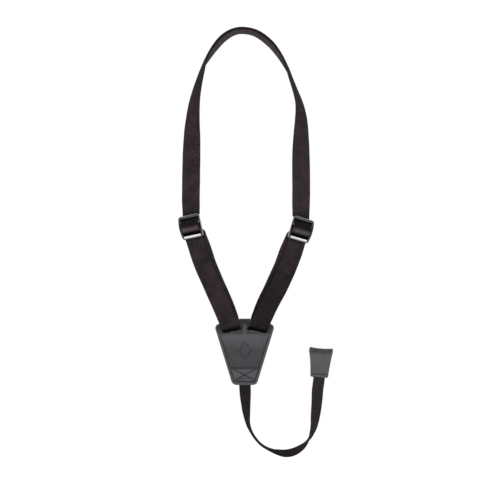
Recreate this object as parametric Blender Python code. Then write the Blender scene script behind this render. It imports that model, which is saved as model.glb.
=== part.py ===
"""A neck strap for a small instrument: a webbing loop for the neck, two metal three-bar slides,
a sewn leather yoke with two slots, and a narrow tail that ends in a bent sound-hole hook.

The strap hangs upright. +X is the viewer's right, -Y is towards the viewer, +Z is up, and the
origin is on the middle of the yoke's back face. Below, depths are counted from the yoke's
mid-plane, positive towards the viewer, and empty() moves the root body, and so everything, to
that origin. Dimensions are in millimetres and degrees, and become metres as meshes are made.
"""

import math
from typing import NamedTuple

import bmesh
import bpy
import numpy as np

MM = 0.001
UP = np.array([0.0, 0.0, 1.0])
TOWARDS = np.array([0.0, -1.0, 0.0])  # towards the viewer

# ------------------------------------------------------------------ driving dimensions
NECK_WIDTH = 20.3
NECK_THICK = 1.5
NECK_SECTION = (NECK_WIDTH, NECK_THICK)
TAIL_SECTION = (13.0, 1.6)

SIDES = ("left", "right")
INWARD = {"left": 1.0, "right": -1.0}  # sign of X towards the middle

SLIDE_INSIDE = 21.0  # clear width between the arms of a slide
SLIDE_ARM = 1.5  # thickness of an arm
SLIDE_BAR = 3.0  # top and bottom bars, height and depth
SLIDE_PITCH = 11.4  # middle bar to top bar, and to bottom bar
SLIDE_ROD_R = 1.25  # middle bar
SLIDE_GAP = 0.3  # clearance round the bars
SLIDES = {
    "left": dict(at=(-60.1, -2.6, 140.7), roll=12.0, yaw=13.0),
    "right": dict(at=(63.1, -2.6, 137.6), roll=-16.0, yaw=-13.0),
}
STRAP_LEAN = {"left": 22.6, "right": -24.6}  # doubled straps, from upright
STRAP_GAP = 0.35  # between layers of webbing

YOKE_TOP = 37.4
YOKE_TOP_HALF = 5.2
YOKE_SHOULDER = (34.1, 30.3)
YOKE_BOTTOM = -36.8
YOKE_FOOT = 13.5  # half width at the bottom
LEATHER = 2.0
BOARD = 1.2
PLY_GAP = 0.3
YOKE_FACE = BOARD / 2 + PLY_GAP + LEATHER  # outer face of each leather, from the mid-plane
YOKE_BACK = -TOWARDS * YOKE_FACE  # middle of the back face

SLOT_LENGTH = 21.1
SLOT_HEIGHT = 3.8
SLOT_AT = (14.4, 24.3)
SLOT_TILT = 13.0

HOOK_AT = (83.4, 0.0, -28.3)  # middle of the hook's foot
HOOK_LEAN = 4.5
HOOK_HEIGHT = 30.6
HOOK_BEND_R = 4.4
HOOK_LIP = 7.0
HOOK_CORE = 1.2
HOOK_SKIN = 1.1

FOLD_Z = 38.9  # fold line of the straps over the yoke's top edge
TAIL_FOLD = (0.4, 0.0, -38.0)
TAIL_FOLD_GAP = 0.7  # webbing stops this far either side of the tail's fold
HOOK_FOLD_DROP = 2.9  # tail's fold below the hook's foot


# ------------------------------------------------------------------ frames
def unit(v):
    v = np.array(v, float)
    return v / np.linalg.norm(v)


class Frame(NamedTuple):
    """A position with three directions."""

    at: np.ndarray
    right: np.ndarray
    up: np.ndarray
    out: np.ndarray

    def point(self, right, up, out):
        return self.at + self.right * right + self.up * up + self.out * out


def tilted(degrees):
    """Right and up directions, turned anticlockwise as the viewer sees them."""
    angle = math.radians(degrees)
    right = np.array([math.cos(angle), 0.0, math.sin(angle)])
    up = np.array([-math.sin(angle), 0.0, math.cos(angle)])
    return right, up


def slide_frame(slide):
    """A slide's frame: right lies along its bars and out is the way it faces."""
    yaw = math.radians(slide["yaw"])
    flat, up = tilted(slide["roll"])
    bar = math.cos(yaw) * flat + math.sin(yaw) * TOWARDS
    face = math.cos(yaw) * TOWARDS - math.sin(yaw) * flat
    return Frame(np.array(slide["at"]), bar, up, face)


def slot_frame(side):
    at = np.array([-INWARD[side] * SLOT_AT[0], 0.0, SLOT_AT[1]])
    return Frame(at, *tilted(INWARD[side] * SLOT_TILT), TOWARDS)


SLIDE_FRAMES = {side: slide_frame(SLIDES[side]) for side in SIDES}
YOKE = Frame(np.zeros(3), *tilted(0.0), TOWARDS)
HOOK = Frame(np.array(HOOK_AT), *tilted(-HOOK_LEAN), TOWARDS)


# ------------------------------------------------------------------ scene and materials
for old in list(bpy.data.objects):
    bpy.data.objects.remove(old, do_unlink=True)


def material(name, colour, roughness, metallic=0.0):
    made = bpy.data.materials.new(name)
    made.use_nodes = True
    shader = made.node_tree.nodes["Principled BSDF"]
    shader.inputs["Base Color"].default_value = (*colour, 1.0)
    shader.inputs["Roughness"].default_value = roughness
    shader.inputs["Metallic"].default_value = metallic
    return made


WEBBING = material("webbing", colour=(0.030, 0.024, 0.026), roughness=0.9)
LEATHER_GREY = material("leather", colour=(0.085, 0.083, 0.086), roughness=0.55)
BOARD_BROWN = material("board", colour=(0.25, 0.21, 0.16), roughness=0.9)
THREAD = material("thread", colour=(0.020, 0.020, 0.022), roughness=0.7)
STEEL = material("slide_metal", colour=(0.62, 0.62, 0.62), roughness=0.25, metallic=1.0)
HOOK_METAL = material("hook_core", colour=(0.20, 0.20, 0.21), roughness=0.4, metallic=1.0)


# ------------------------------------------------------------------ objects
def empty(name, at, parent=None):
    """A body: an empty on a joint axis. It keeps its place in millimetres as "at"."""
    made = bpy.data.objects.new(name, None)
    bpy.context.scene.collection.objects.link(made)
    made.empty_display_size = 0.01
    made["at"] = [float(value) for value in at]
    made.parent = parent
    base = np.array(parent["at"]) if parent else YOKE_BACK
    made.location = tuple((np.array(at) - base) * MM)
    return made


def place(name, points, faces, body, mat, cutter=False):
    """An object from points in millimetres, with its origin on the body's joint axis."""
    origin = np.array(body["at"])
    mesh = bpy.data.meshes.new(name)
    mesh.from_pydata([tuple((np.array(p) - origin) * MM) for p in points], [], faces)
    shape = bmesh.new()
    shape.from_mesh(mesh)
    bmesh.ops.recalc_face_normals(shape, faces=shape.faces)
    shape.to_mesh(mesh)
    shape.free()
    mesh.materials.append(mat)
    made = bpy.data.objects.new(name, mesh)
    bpy.context.scene.collection.objects.link(made)
    made.parent = body
    if cutter:
        made.hide_render = True
        made.display_type = "WIRE"
    return made


def cut(target, cutter, operation="DIFFERENCE"):
    step = target.modifiers.new(cutter.name, "BOOLEAN")
    step.operation = operation
    step.solver = "EXACT"
    step.object = cutter


def prism(name, outline, frame, depths, body, mat, cutter=False):
    """A flat outline, given along right and up of frame, made solid between two depths."""
    at, right, up, out = frame
    points = [at + right * a + up * b + out * depth for depth in depths for a, b in outline]
    count = len(outline)
    faces = [tuple(range(count)), tuple(range(2 * count - 1, count - 1, -1))]
    for i in range(count):
        j = (i + 1) % count
        faces.append((i, j, count + j, count + i))
    return place(name, points, faces, body, mat, cutter)


def ribbon(name, rows, section, body):
    """Webbing of (width, thickness) swept along rows of position and width direction."""
    width, thick = section
    rows = np.array(rows, float)
    middles = rows[:, :3]
    points, faces = [], []
    for middle, across, along in zip(middles, rows[:, 3:6], np.gradient(middles, axis=0)):
        across = unit(across)
        face = unit(np.cross(along, across))
        for side, level in ((1, 1), (1, -1), (-1, -1), (-1, 1)):
            points.append(middle + side * across * width / 2 + level * face * thick / 2)
    for i in range(len(rows) - 1):
        for k in range(4):
            first, second = 4 * i + k, 4 * i + (k + 1) % 4
            faces.append((first, second, second + 4, first + 4))
    last = 4 * (len(rows) - 1)
    faces += [(3, 2, 1, 0), (last, last + 1, last + 2, last + 3)]
    return place(name, points, faces, body, WEBBING)


# ------------------------------------------------------------------ curves
def clamp(t):
    return max(0.0, min(1.0, t))


def ease(t):
    """A smooth step from 0 to 1."""
    t = clamp(t)
    return t * t * (3 - 2 * t)


def smooth(rows, steps):
    """A smooth curve through control rows, with this many steps between neighbours. The first
    three columns are a position; rows of two columns are flat positions."""
    rows = np.array(rows, float)
    span = np.maximum(np.linalg.norm(np.diff(rows[:, :3], axis=0), axis=1), 1e-6)
    slope = np.diff(rows, axis=0) / span[:, None]
    tangent = np.empty_like(rows)
    tangent[0], tangent[-1] = slope[0], slope[-1]
    tangent[1:-1] = (slope[:-1] * span[1:, None] + slope[1:] * span[:-1, None]) / (
        span[:-1] + span[1:]
    )[:, None]
    curve = []
    for i in range(len(span)):
        for t in np.linspace(0.0, 1.0, steps, endpoint=False):
            curve.append(
                (2 * t**3 - 3 * t**2 + 1) * rows[i]
                + (t**3 - 2 * t**2 + t) * span[i] * tangent[i]
                + (3 * t**2 - 2 * t**3) * rows[i + 1]
                + (t**3 - t**2) * span[i] * tangent[i + 1]
            )
    curve.append(rows[-1])
    return np.array(curve)


def twisted(stations, outward):
    """Rows of position and width direction from (x, z, twist) stations in the strap's plane.
    Twist 0 turns the webbing's face to the viewer; at 90 its width runs away from the viewer
    and its face looks out of the loop. outward is 1 for a loop that runs clockwise as the
    viewer sees it, and -1 for one that runs anticlockwise."""
    middles = np.array([(x, 0.0, z) for x, z, _ in stations])
    rows = []
    for middle, along, station in zip(middles, np.gradient(middles, axis=0), stations):
        out = outward * unit((-along[2], 0.0, along[0]))
        twist = math.radians(station[2])
        rows.append([*middle, *(math.cos(twist) * out - math.sin(twist) * TOWARDS)])
    return rows


# ------------------------------------------------------------------ outlines
def polygon(radius, sides, first=0.0, middle=0.0):
    """A regular polygon, its first corner at this angle and its middle this far along."""
    angles = [first + 2 * math.pi * k / sides for k in range(sides)]
    return [(middle + radius * math.cos(a), radius * math.sin(a)) for a in angles]


def rounded(corners, steps=4):
    """The outline through corners of (x, y, radius), with an arc at each."""
    outline = []
    for i, (x, y, radius) in enumerate(corners):
        corner = np.array((x, y), float)
        back = unit(np.array(corners[i - 1][:2]) - corner)
        ahead = unit(np.array(corners[(i + 1) % len(corners)][:2]) - corner)
        half = math.acos(max(-1.0, min(1.0, float(back @ ahead)))) / 2
        reach = radius / math.tan(half)
        middle = corner + unit(back + ahead) * radius / math.sin(half)
        start = corner + back * reach - middle
        end = corner + ahead * reach - middle
        turn = math.atan2(start[0] * end[1] - start[1] * end[0], start @ end)
        for k in range(steps + 1):
            c, s = math.cos(turn * k / steps), math.sin(turn * k / steps)
            spoke = np.array([start[0] * c - start[1] * s, start[0] * s + start[1] * c])
            outline.append(middle + spoke)
    return outline


def band(path, half):
    """The outline of a band of even width along an open path, with mitred corners and ends
    that run on by half the width."""
    path = [np.array(p, float) for p in path]
    last = len(path) - 1
    left, right = [], []
    for i, p in enumerate(path):
        ahead = unit(path[i + 1] - p) if i < last else unit(p - path[i - 1])
        behind = unit(p - path[i - 1]) if i else ahead
        along = unit(behind + ahead)
        across = np.array([-along[1], along[0]])
        reach = half / max(0.2, float(along @ ahead))
        left.append(p + across * reach)
        right.append(p - across * reach)
    for i, run_on in ((0, unit(path[0] - path[1])), (last, unit(path[-1] - path[-2]))):
        left[i] = left[i] + run_on * half
        right[i] = right[i] + run_on * half
    return left + right[::-1]


# ------------------------------------------------------------------ seams
GROOVE_CLEAR = 1.0  # groove cutters stand this far out of the leather
THREAD_PROUD = 0.15


class Seam(NamedTuple):
    """How stitching lies on a leather: its groove, and the thread in it."""

    leather: bpy.types.Object
    frame: Frame
    face: float  # depth of the leather's outer face
    body: bpy.types.Object
    groove_half: float
    groove_deep: float
    thread_half: float
    thread_deep: float


def stitch(seam, line, groove_name, thread_name, cutter=False):
    """Cuts a groove along a line and lays a thread in it. Returns the thread."""
    depths = (seam.face - seam.groove_deep, seam.face + GROOVE_CLEAR)
    outline = band(line, seam.groove_half)
    groove = prism(groove_name, outline, seam.frame, depths, seam.body, THREAD, cutter=True)
    cut(seam.leather, groove)
    depths = (seam.face - seam.thread_deep, seam.face + THREAD_PROUD)
    outline = band(line, seam.thread_half)
    return prism(thread_name, outline, seam.frame, depths, seam.body, THREAD, cutter)


# ------------------------------------------------------------------ tail course
# (x, z, twist) stations down from the yoke, along the bottom and up to the hook
TAIL_STATIONS = [
    (0.5, -42.0, 5), (0.7, -47.0, 14), (1.2, -56.0, 34), (2.2, -69.4, 54),
    (3.2, -76.2, 66), (4.9, -82.9, 75), (7.7, -89.6, 85), (12.6, -97.4, 87),
    (18.9, -103.9, 86), (28.4, -109.1, 78), (38.0, -111.9, 58), (45.8, -113.0, 46),
    (50.8, -112.5, 43), (57.0, -110.4, 46), (64.0, -106.0, 58), (69.4, -100.8, 76),
    (72.4, -96.9, 90), (75.2, -89.6, 108), (77.3, -82.9, 121), (78.5, -76.2, 132),
    (79.5, -69.4, 142), (80.9, -56.0, 156), (81.7, -42.6, 170),
]
LEFT_BEND, RIGHT_BEND = 7, 16  # stations where the tail is split into bodies


def station_point(index):
    x, z, _ = TAIL_STATIONS[index]
    return x, 0.0, z


# ------------------------------------------------------------------ bodies
neck_body = empty("body_neck_strap", (0.0, 0.0, FOLD_Z))
yoke_body = empty("body_yoke", (0.0, 0.0, FOLD_Z), neck_body)
slide_bodies = {
    side: empty(f"body_{side}_slider", SLIDES[side]["at"], neck_body) for side in SIDES
}
tail_body = empty("body_tail_upper", TAIL_FOLD, yoke_body)
bottom_body = empty("body_tail_bottom", station_point(LEFT_BEND), tail_body)
riser_body = empty("body_tail_riser", station_point(RIGHT_BEND), bottom_body)
hook_body = empty("body_hook", HOOK.at - HOOK.up * HOOK_FOLD_DROP, riser_body)

# ------------------------------------------------------------------ slides
ARM_INNER = SLIDE_INSIDE / 2
ARM_OUTER = ARM_INNER + SLIDE_ARM
ARM_TALL = SLIDE_PITCH + SLIDE_BAR / 2  # half the slide's height
ARM_STEPS = 10
ARM_END_HALF = SLIDE_BAR / 2 - 0.2  # half depth at the ends
ARM_SWELL_FRONT, ARM_SWELL_BACK = 1.5, 0.9  # extra depth at the middle bar
RAIL_CORNER = SLIDE_BAR / 2 * 1.04  # corner radius of the eight-sided bars
RAIL_IN_ARM = 0.6
ROD_SIDES = 12


def arm_outline():
    """(along strap, towards viewer) outline of an arm, deepest at the middle bar."""
    outline = []
    for way, half, swell in ((1, ARM_END_HALF, ARM_SWELL_FRONT), (-1, -ARM_END_HALF, -ARM_SWELL_BACK)):
        for k in range(ARM_STEPS + 1):
            v = way * (-ARM_TALL + 2 * ARM_TALL * k / ARM_STEPS)
            outline.append((v, half + swell * (1 - (v / ARM_TALL) ** 2)))
    return outline


def build_slide(side):
    """The frame of two arms and two bars, and the middle bar in its holes."""
    at, bar, up, face = SLIDE_FRAMES[side]
    across = Frame(at, up, face, bar)  # outlines lie across the bars, depths along them

    def part(label, outline, depths, cutter=True):
        return prism(
            f"{side}_{label}", outline, across, depths, slide_bodies[side], STEEL, cutter
        )

    base = part("slider_frame", arm_outline(), (ARM_INNER, ARM_OUTER), cutter=False)
    cut(base, part("arm_operand", arm_outline(), (-ARM_OUTER, -ARM_INNER)), "UNION")
    rail_half = ARM_INNER + RAIL_IN_ARM
    for label, middle in (("top", SLIDE_PITCH), ("bottom", -SLIDE_PITCH)):
        outline = polygon(RAIL_CORNER, 8, first=math.pi / 8, middle=middle)
        cut(base, part(f"{label}_operand", outline, (-rail_half, rail_half)), "UNION")
    hole = polygon(SLIDE_ROD_R + SLIDE_GAP, ROD_SIDES)
    cut(base, part("rod_hole", hole, (-ARM_OUTER - 1, ARM_OUTER + 1)))
    rod = polygon(SLIDE_ROD_R, ROD_SIDES)
    part("slider_middle_bar", rod, (-ARM_OUTER, ARM_OUTER), cutter=False)


for SIDE in SIDES:
    build_slide(SIDE)

# ------------------------------------------------------------------ webbing in the slides
# levels of the webbing's middle, towards the viewer from the middle bar's axis
UNDER_BAR = -(SLIDE_BAR / 2 + SLIDE_GAP + NECK_THICK / 2)  # behind the top and bottom bars
AROUND_ROD = SLIDE_ROD_R + SLIDE_GAP + NECK_THICK / 2
OVER_ROD = AROUND_ROD + NECK_THICK + STRAP_GAP
END_LEVEL = UNDER_BAR - NECK_THICK - STRAP_GAP  # sewn tongue, behind the strap
BACK_LEVEL = END_LEVEL - NECK_THICK - STRAP_GAP  # strap that the tongue is sewn to
TONGUE_END = -22.0
BACK_START = -25.0

OVER_REACH = SLIDE_PITCH - 0.2  # webbing over the middle bar, half length
OVER_RISE = SLIDE_PITCH - SLIDE_BAR / 2 - 0.1  # where it starts to rise, from the middle bar
OVER_FLAT = 1.6  # where it is level again
OVER_STEPS = 24

# How each ply leaves its slide: it turns to the doubled strap's direction from `start` below
# the middle bar, over `reach`, moves `aside` towards the middle as it turns, and drifts
# further that way by `drift` per millimetre below DRIFT_START.
DRIFT_START = 11.5
COURSES = {
    ("left", "front"): dict(start=11.5, reach=10.0, aside=0.0, drift=0.10),
    ("right", "front"): dict(start=11.5, reach=10.0, aside=0.0, drift=0.0),
    ("left", "back"): dict(start=2.5, reach=9.0, aside=3.6, drift=0.155),
    ("right", "back"): dict(start=2.5, reach=9.0, aside=3.1, drift=0.148),
}


def leaning_rows(side, ply, profile):
    """Ribbon rows from a side view of (along strap, towards viewer) in the slide's frame.
    Below the slide the webbing turns into the doubled strap's direction."""
    frame, course = SLIDE_FRAMES[side], COURSES[side, ply]
    rows = []
    for v, n in profile:
        t = ease((-v - course["start"]) / course["reach"])
        angle = math.radians(STRAP_LEAN[side] - SLIDES[side]["roll"]) * t
        aside = course["aside"] * t + max(0.0, -v - DRIFT_START) * course["drift"]
        middle = frame.point(aside * INWARD[side], v, n)
        rows.append([*middle, *(frame.right * math.cos(angle) + frame.up * math.sin(angle))])
    return rows


def webbing_over_bar(side):
    """Webbing over the middle bar, from behind the bottom bar to behind the top bar."""
    frame = SLIDE_FRAMES[side]
    rows = []
    for k in range(OVER_STEPS + 1):
        v = -OVER_REACH + 2 * OVER_REACH * k / OVER_STEPS
        t = ease((OVER_RISE - abs(v)) / (OVER_RISE - OVER_FLAT))
        n = UNDER_BAR + (OVER_ROD - UNDER_BAR) * t
        rows.append([*frame.point(0.0, v, n), *frame.right])
    ribbon(f"{side}_webbing_over_bar", rows, NECK_SECTION, slide_bodies[side])


def webbing_sewn_end(side):
    """The webbing's end: it climbs behind, loops over the middle bar and comes down as a
    tongue. Profiles are (along strap, towards viewer)."""
    rise = smooth(
        [
            (BACK_START, BACK_LEVEL),
            (-15.0, BACK_LEVEL),
            (-9.0, BACK_LEVEL + 0.15),
            (-5.0, BACK_LEVEL + 1.6),
            (-1.9, -AROUND_ROD * 1.18),
        ],
        3,
    )
    angles = [math.radians(degrees) for degrees in range(0, 196, 15)]
    turn = [(AROUND_ROD * math.sin(a), -AROUND_ROD * math.cos(a)) for a in angles]
    fall = smooth(
        [
            turn[-1],
            (-2.5, 0.9),
            (-4.2, -1.9),
            (-6.6, -3.6),
            (-10.0, END_LEVEL),
            (-15.0, END_LEVEL),
            (TONGUE_END, END_LEVEL),
        ],
        3,
    )
    rows = leaning_rows(side, "back", rise) + leaning_rows(side, "front", [*turn, *fall[1:]])
    ribbon(f"{side}_webbing_sewn_end", rows, NECK_SECTION, slide_bodies[side])


for SIDE in SIDES:
    webbing_over_bar(SIDE)
    webbing_sewn_end(SIDE)

# ------------------------------------------------------------------ neck loop
# (x, z, twist) stations up the left side, over the top and down the right side
LOOP_STATIONS = [
    (-60.1, 164.6, 8), (-60.0, 185.9, 6), (-59.7, 209.4, 8), (-59.1, 231.8, 16),
    (-58.2, 259.8, 39), (-55.3, 286.7, 58), (-48.5, 313.6, 77), (-42.8, 327.0, 93),
    (-34.3, 341.0, 104), (-23.4, 352.8, 107), (-13.1, 358.6, 105), (-6.3, 360.3, 104),
    (0.7, 360.3, 104), (10.6, 358.2, 104), (27.8, 347.2, 106), (39.0, 333.8, 101),
    (46.4, 320.3, 92), (52.0, 306.9, 82), (57.1, 293.4, 74), (61.2, 280.0, 66),
    (63.3, 259.8, 47), (63.3, 246.4, 35), (63.1, 233.0, 23), (63.2, 212.8, 10),
    (63.3, 185.9, 6), (63.2, 164.6, 8),
]
ENTRY_ASIDE = {"left": 2.2, "right": -2.8}  # off the slide's middle, along its bars
ENTRY_LOW, ENTRY_HIGH = 0.2, 3.0  # heights above the top bar's axis


def entry_row(side, above, sign):
    """The neck webbing behind a slide's top bar, which it meets coming straight down."""
    frame = SLIDE_FRAMES[side]
    behind_bar = frame.point(ENTRY_ASIDE[side], SLIDE_PITCH, UNDER_BAR)
    return [*(behind_bar + UP * above), *(frame.right * sign)]


def neck_webbing():
    rows = twisted(LOOP_STATIONS, outward=1.0)
    crown = next(i for i, station in enumerate(LOOP_STATIONS) if station[0] > 0)
    # the two stations either side of the crown share one width direction, square to X, so
    # that the webbing lies flat between them
    level = np.array(rows[crown - 1][3:6]) + np.array(rows[crown][3:6])
    level = unit(level * np.array([0.0, 1.0, 1.0]))
    for k in (crown - 1, crown):
        rows[k][3:6] = list(level)
    climb = [entry_row("left", above, -1) for above in (ENTRY_LOW, ENTRY_HIGH)]
    descent = [entry_row("right", above, 1) for above in (ENTRY_HIGH, ENTRY_LOW)]
    rows = np.vstack([smooth(climb + rows[:crown], 3), smooth(rows[crown:] + descent, 3)])
    ribbon("neck_webbing", rows, NECK_SECTION, neck_body)


neck_webbing()

# ------------------------------------------------------------------ turns through the slots
TURN_LEVEL = YOKE_FACE + 0.6 + NECK_THICK / 2  # depth of the webbing's middle
TURN_HEIGHTS = (12.2, 8.0, 5.0)  # straight part, above the slot's middle
TURN_R = 2.9
TURN_ARC_Z = 1.9  # height of the arcs' centres
TURN_ASIDE = 0.1  # towards the middle
TURN_BACK_ASIDE = 2.6  # more of it at the top of the back ply
TURN_BLEND = (2.2, 8.5)  # where the width starts to swing to the strap's, and over what height


def turn_rows(side):
    """The strap's turn through a slot: down in front of the yoke's top edge, back through the
    slot and up behind it."""
    slot = slot_frame(side)
    broad, _ = tilted(STRAP_LEAN[side])
    _, up = tilted(STRAP_LEAN[side])
    front = [(height, TURN_LEVEL) for height in TURN_HEIGHTS]
    for k in range(6):
        a = math.radians(18 * k)
        front.append((TURN_ARC_Z - TURN_R * math.sin(a), TURN_LEVEL - TURN_R + TURN_R * math.cos(a)))
    back = [(v, -n) for v, n in reversed(front)]
    blend_start, blend_reach = TURN_BLEND
    rows = []
    for v, n in front + back:
        t = clamp((v - blend_start) / blend_reach)
        width = unit(slot.right * (1 - t) + broad * t)
        aside = INWARD[side] * (TURN_ASIDE + (TURN_BACK_ASIDE * t if n < 0 else 0.0))
        rows.append([*(slot.at + up * v + slot.out * n + broad * aside), *width])
    return rows


TURNS = {side: turn_rows(side) for side in SIDES}
for SIDE in SIDES:
    ribbon(f"{SIDE}_webbing_slot_turn", TURNS[SIDE], NECK_SECTION, yoke_body)

# ------------------------------------------------------------------ doubled straps
# (x, y, z) points of each ply on the way down
STRAP_POINTS = {
    ("left", "front"): [(-48.3, -0.4, 102.3), (-36.8, -1.0, 76.2), (-24.9, -2.9, 49.4)],
    ("left", "back"): [(-41.5, 3.2, 98.0), (-32.6, 3.3, 76.2), (-21.1, 3.8, 49.4)],
    ("right", "front"): [(51.3, -0.4, 102.3), (40.0, -1.0, 76.2), (25.8, -2.9, 49.4)],
    ("right", "back"): [(43.8, 3.2, 98.0), (34.2, 3.3, 76.2), (21.8, 3.8, 49.4)],
}
STRAP_YAWS = (9.0, 6.0, 2.0)  # of the width, at each of those points
# (along strap, towards viewer) in the slide's frame, where each ply leaves the slide
STRAP_STARTS = {
    "front": [(v, UNDER_BAR) for v in (-SLIDE_PITCH - 0.2, -15.0, -19.0, -24.0)],
    "back": [(v, BACK_LEVEL) for v in (BACK_START - 0.3, BACK_START - 3.0)],
}
ABOVE_TURN = (3.0, 0.3)  # the plies' last rows, above the end of the turn


def strap_ply(side, ply):
    """One ply of a doubled strap, from the slide to just above the turn."""
    first = leaning_rows(side, ply, STRAP_STARTS[ply])
    broad, _ = tilted(STRAP_LEAN[side])
    middle = []
    for point, degrees in zip(STRAP_POINTS[side, ply], STRAP_YAWS):
        yaw = math.radians(degrees) * INWARD[side]
        middle.append([*point, *(broad * math.cos(yaw) + TOWARDS * math.sin(yaw))])
    turn = TURNS[side]
    end, before = (turn[0], turn[1]) if ply == "front" else (turn[-1], turn[-2])
    climb = unit(np.array(end[:3]) - np.array(before[:3]))
    last = [[*(np.array(end[:3]) + climb * above), *end[3:6]] for above in ABOVE_TURN]
    rows = smooth(first + middle + last, 4)
    ribbon(f"{side}_lower_webbing_{ply}", rows, NECK_SECTION, neck_body)


for SIDE in SIDES:
    for PLY in ("front", "back"):
        strap_ply(SIDE, PLY)

# ------------------------------------------------------------------ yoke
TOP_R, SHOULDER_R, FOOT_R = 8.0, 4.8, 5.8
BOARD_INSET = 2.5  # towards INSET_MIDDLE
INSET_MIDDLE = (0.0, 2.0)
BOARD_LOW = -16.0
BOARD_LOW_INSET = 3.0  # from the yoke's sides, at the board's lower edge
BOARD_SLOT_GROW = 0.6
SLOT_CORNER_R = 0.4
SLOT_CUT = (-12, 12)  # depths of the slot cutters


def yoke_outline():
    shoulder_x, shoulder_z = YOKE_SHOULDER
    left = [
        (-YOKE_TOP_HALF, YOKE_TOP, TOP_R),
        (-shoulder_x, shoulder_z, SHOULDER_R),
        (-YOKE_FOOT, YOKE_BOTTOM, FOOT_R),
    ]
    return np.array(rounded(left + [(-x, z, radius) for x, z, radius in reversed(left)]))


def half_width(z):
    """Half the yoke's width at height z, on its straight sides."""
    shoulder_x, shoulder_z = YOKE_SHOULDER
    share = (z - YOKE_BOTTOM) / (shoulder_z - YOKE_BOTTOM)
    return YOKE_FOOT + (shoulder_x - YOKE_FOOT) * share


def board_outline():
    """The yoke's outline drawn in towards its middle, and cut off level below."""
    middle = np.array(INSET_MIDDLE)
    spokes = yoke_outline() - middle
    lengths = np.linalg.norm(spokes, axis=1)[:, None]
    inset = middle + spokes * (lengths - BOARD_INSET) / lengths
    kept = [p for p in inset if p[1] > BOARD_LOW]
    low_half = half_width(BOARD_LOW) - BOARD_LOW_INSET
    low_edge = [(-low_half, BOARD_LOW), (low_half, BOARD_LOW)]
    return [p for p in kept if p[0] < 0] + low_edge + [p for p in kept if p[0] >= 0]


def cut_slots(ply, grow=0.0):
    a, b = SLOT_LENGTH / 2 + grow, SLOT_HEIGHT / 2 + grow
    corners = [(x, z, SLOT_CORNER_R) for x, z in ((-a, -b), (a, -b), (a, b), (-a, b))]
    for side in SIDES:
        name, outline = f"{ply.name}_{side}_slot", rounded(corners, 3)
        frame = slot_frame(side)
        cut(ply, prism(name, outline, frame, SLOT_CUT, yoke_body, LEATHER_GREY, cutter=True))


def yoke_leather(label, depths):
    name = f"yoke_{label}_leather"
    ply = prism(name, yoke_outline(), YOKE, depths, yoke_body, LEATHER_GREY)
    cut_slots(ply)
    return ply


def yoke_board():
    depths = (-BOARD / 2, BOARD / 2)
    board = prism("yoke_inner_board", board_outline(), YOKE, depths, yoke_body, BOARD_BROWN)
    cut_slots(board, BOARD_SLOT_GROW)


front_leather = yoke_leather("front", (BOARD / 2 + PLY_GAP, YOKE_FACE))
yoke_leather("back", (-YOKE_FACE, -BOARD / 2 - PLY_GAP))
yoke_board()

# ------------------------------------------------------------------ yoke stitching
SEAM_INSET = 3.3  # border seam from the yoke's sides
SEAM_TOP, SEAM_LOW = 17.5, -32.5
CROSS_TOP = -17.9
CROSS_INSET = 2.0  # cross from the border seam, sideways
CROSS_LIFT = 1.7  # cross from the border seam, at the foot


def yoke_stitching():
    """A border down both sides and along the foot, and a cross with a line along its top
    over the tail's end."""
    seam = Seam(
        front_leather, YOKE, YOKE_FACE, yoke_body,
        groove_half=0.65, groove_deep=0.55, thread_half=0.32, thread_deep=0.25,
    )
    top_x, low_x = half_width(SEAM_TOP) - SEAM_INSET, half_width(SEAM_LOW) - SEAM_INSET
    border = [(-top_x, SEAM_TOP), (-low_x, SEAM_LOW), (low_x, SEAM_LOW), (top_x, SEAM_TOP)]
    stitch(seam, border, "border_groove", "yoke_border_stitching")

    cross_x = half_width(CROSS_TOP) - SEAM_INSET - CROSS_INSET
    foot_x, foot_z = low_x - CROSS_INSET, SEAM_LOW + CROSS_LIFT
    top_line = [(-cross_x, CROSS_TOP), (cross_x, CROSS_TOP)]
    diagonals = [
        [(-cross_x, CROSS_TOP), (foot_x, foot_z)],
        [(cross_x, CROSS_TOP), (-foot_x, foot_z)],
    ]
    thread = stitch(seam, top_line, "cross_groove_0", "yoke_cross_stitching")
    for k, line in enumerate(diagonals, start=1):
        part = stitch(seam, line, f"cross_groove_{k}", f"cross_operand_{k}", cutter=True)
        cut(thread, part, "UNION")


yoke_stitching()

# ------------------------------------------------------------------ tail
TAIL_STEPS = 3  # steps between neighbouring rows
BEND_GAP = 0.5  # webbing stops this far either side of a bend
YOKE_END_HEIGHTS = (-17.0, -27.0, TAIL_FOLD[2] + TAIL_FOLD_GAP)
RISER_END = -3.5  # from the hook's foot, along the hook
HOOK_END_HEIGHTS = (-2.2, 4.0, 11.0)  # the same, for the webbing inside the hook


def trimmed(rows, start=0.0, end=0.0):
    """Rows with this much length taken off each end."""
    rows = np.array(rows)
    rows[0, :3] += unit(rows[1, :3] - rows[0, :3]) * start
    rows[-1, :3] += unit(rows[-2, :3] - rows[-1, :3]) * end
    return rows


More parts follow.
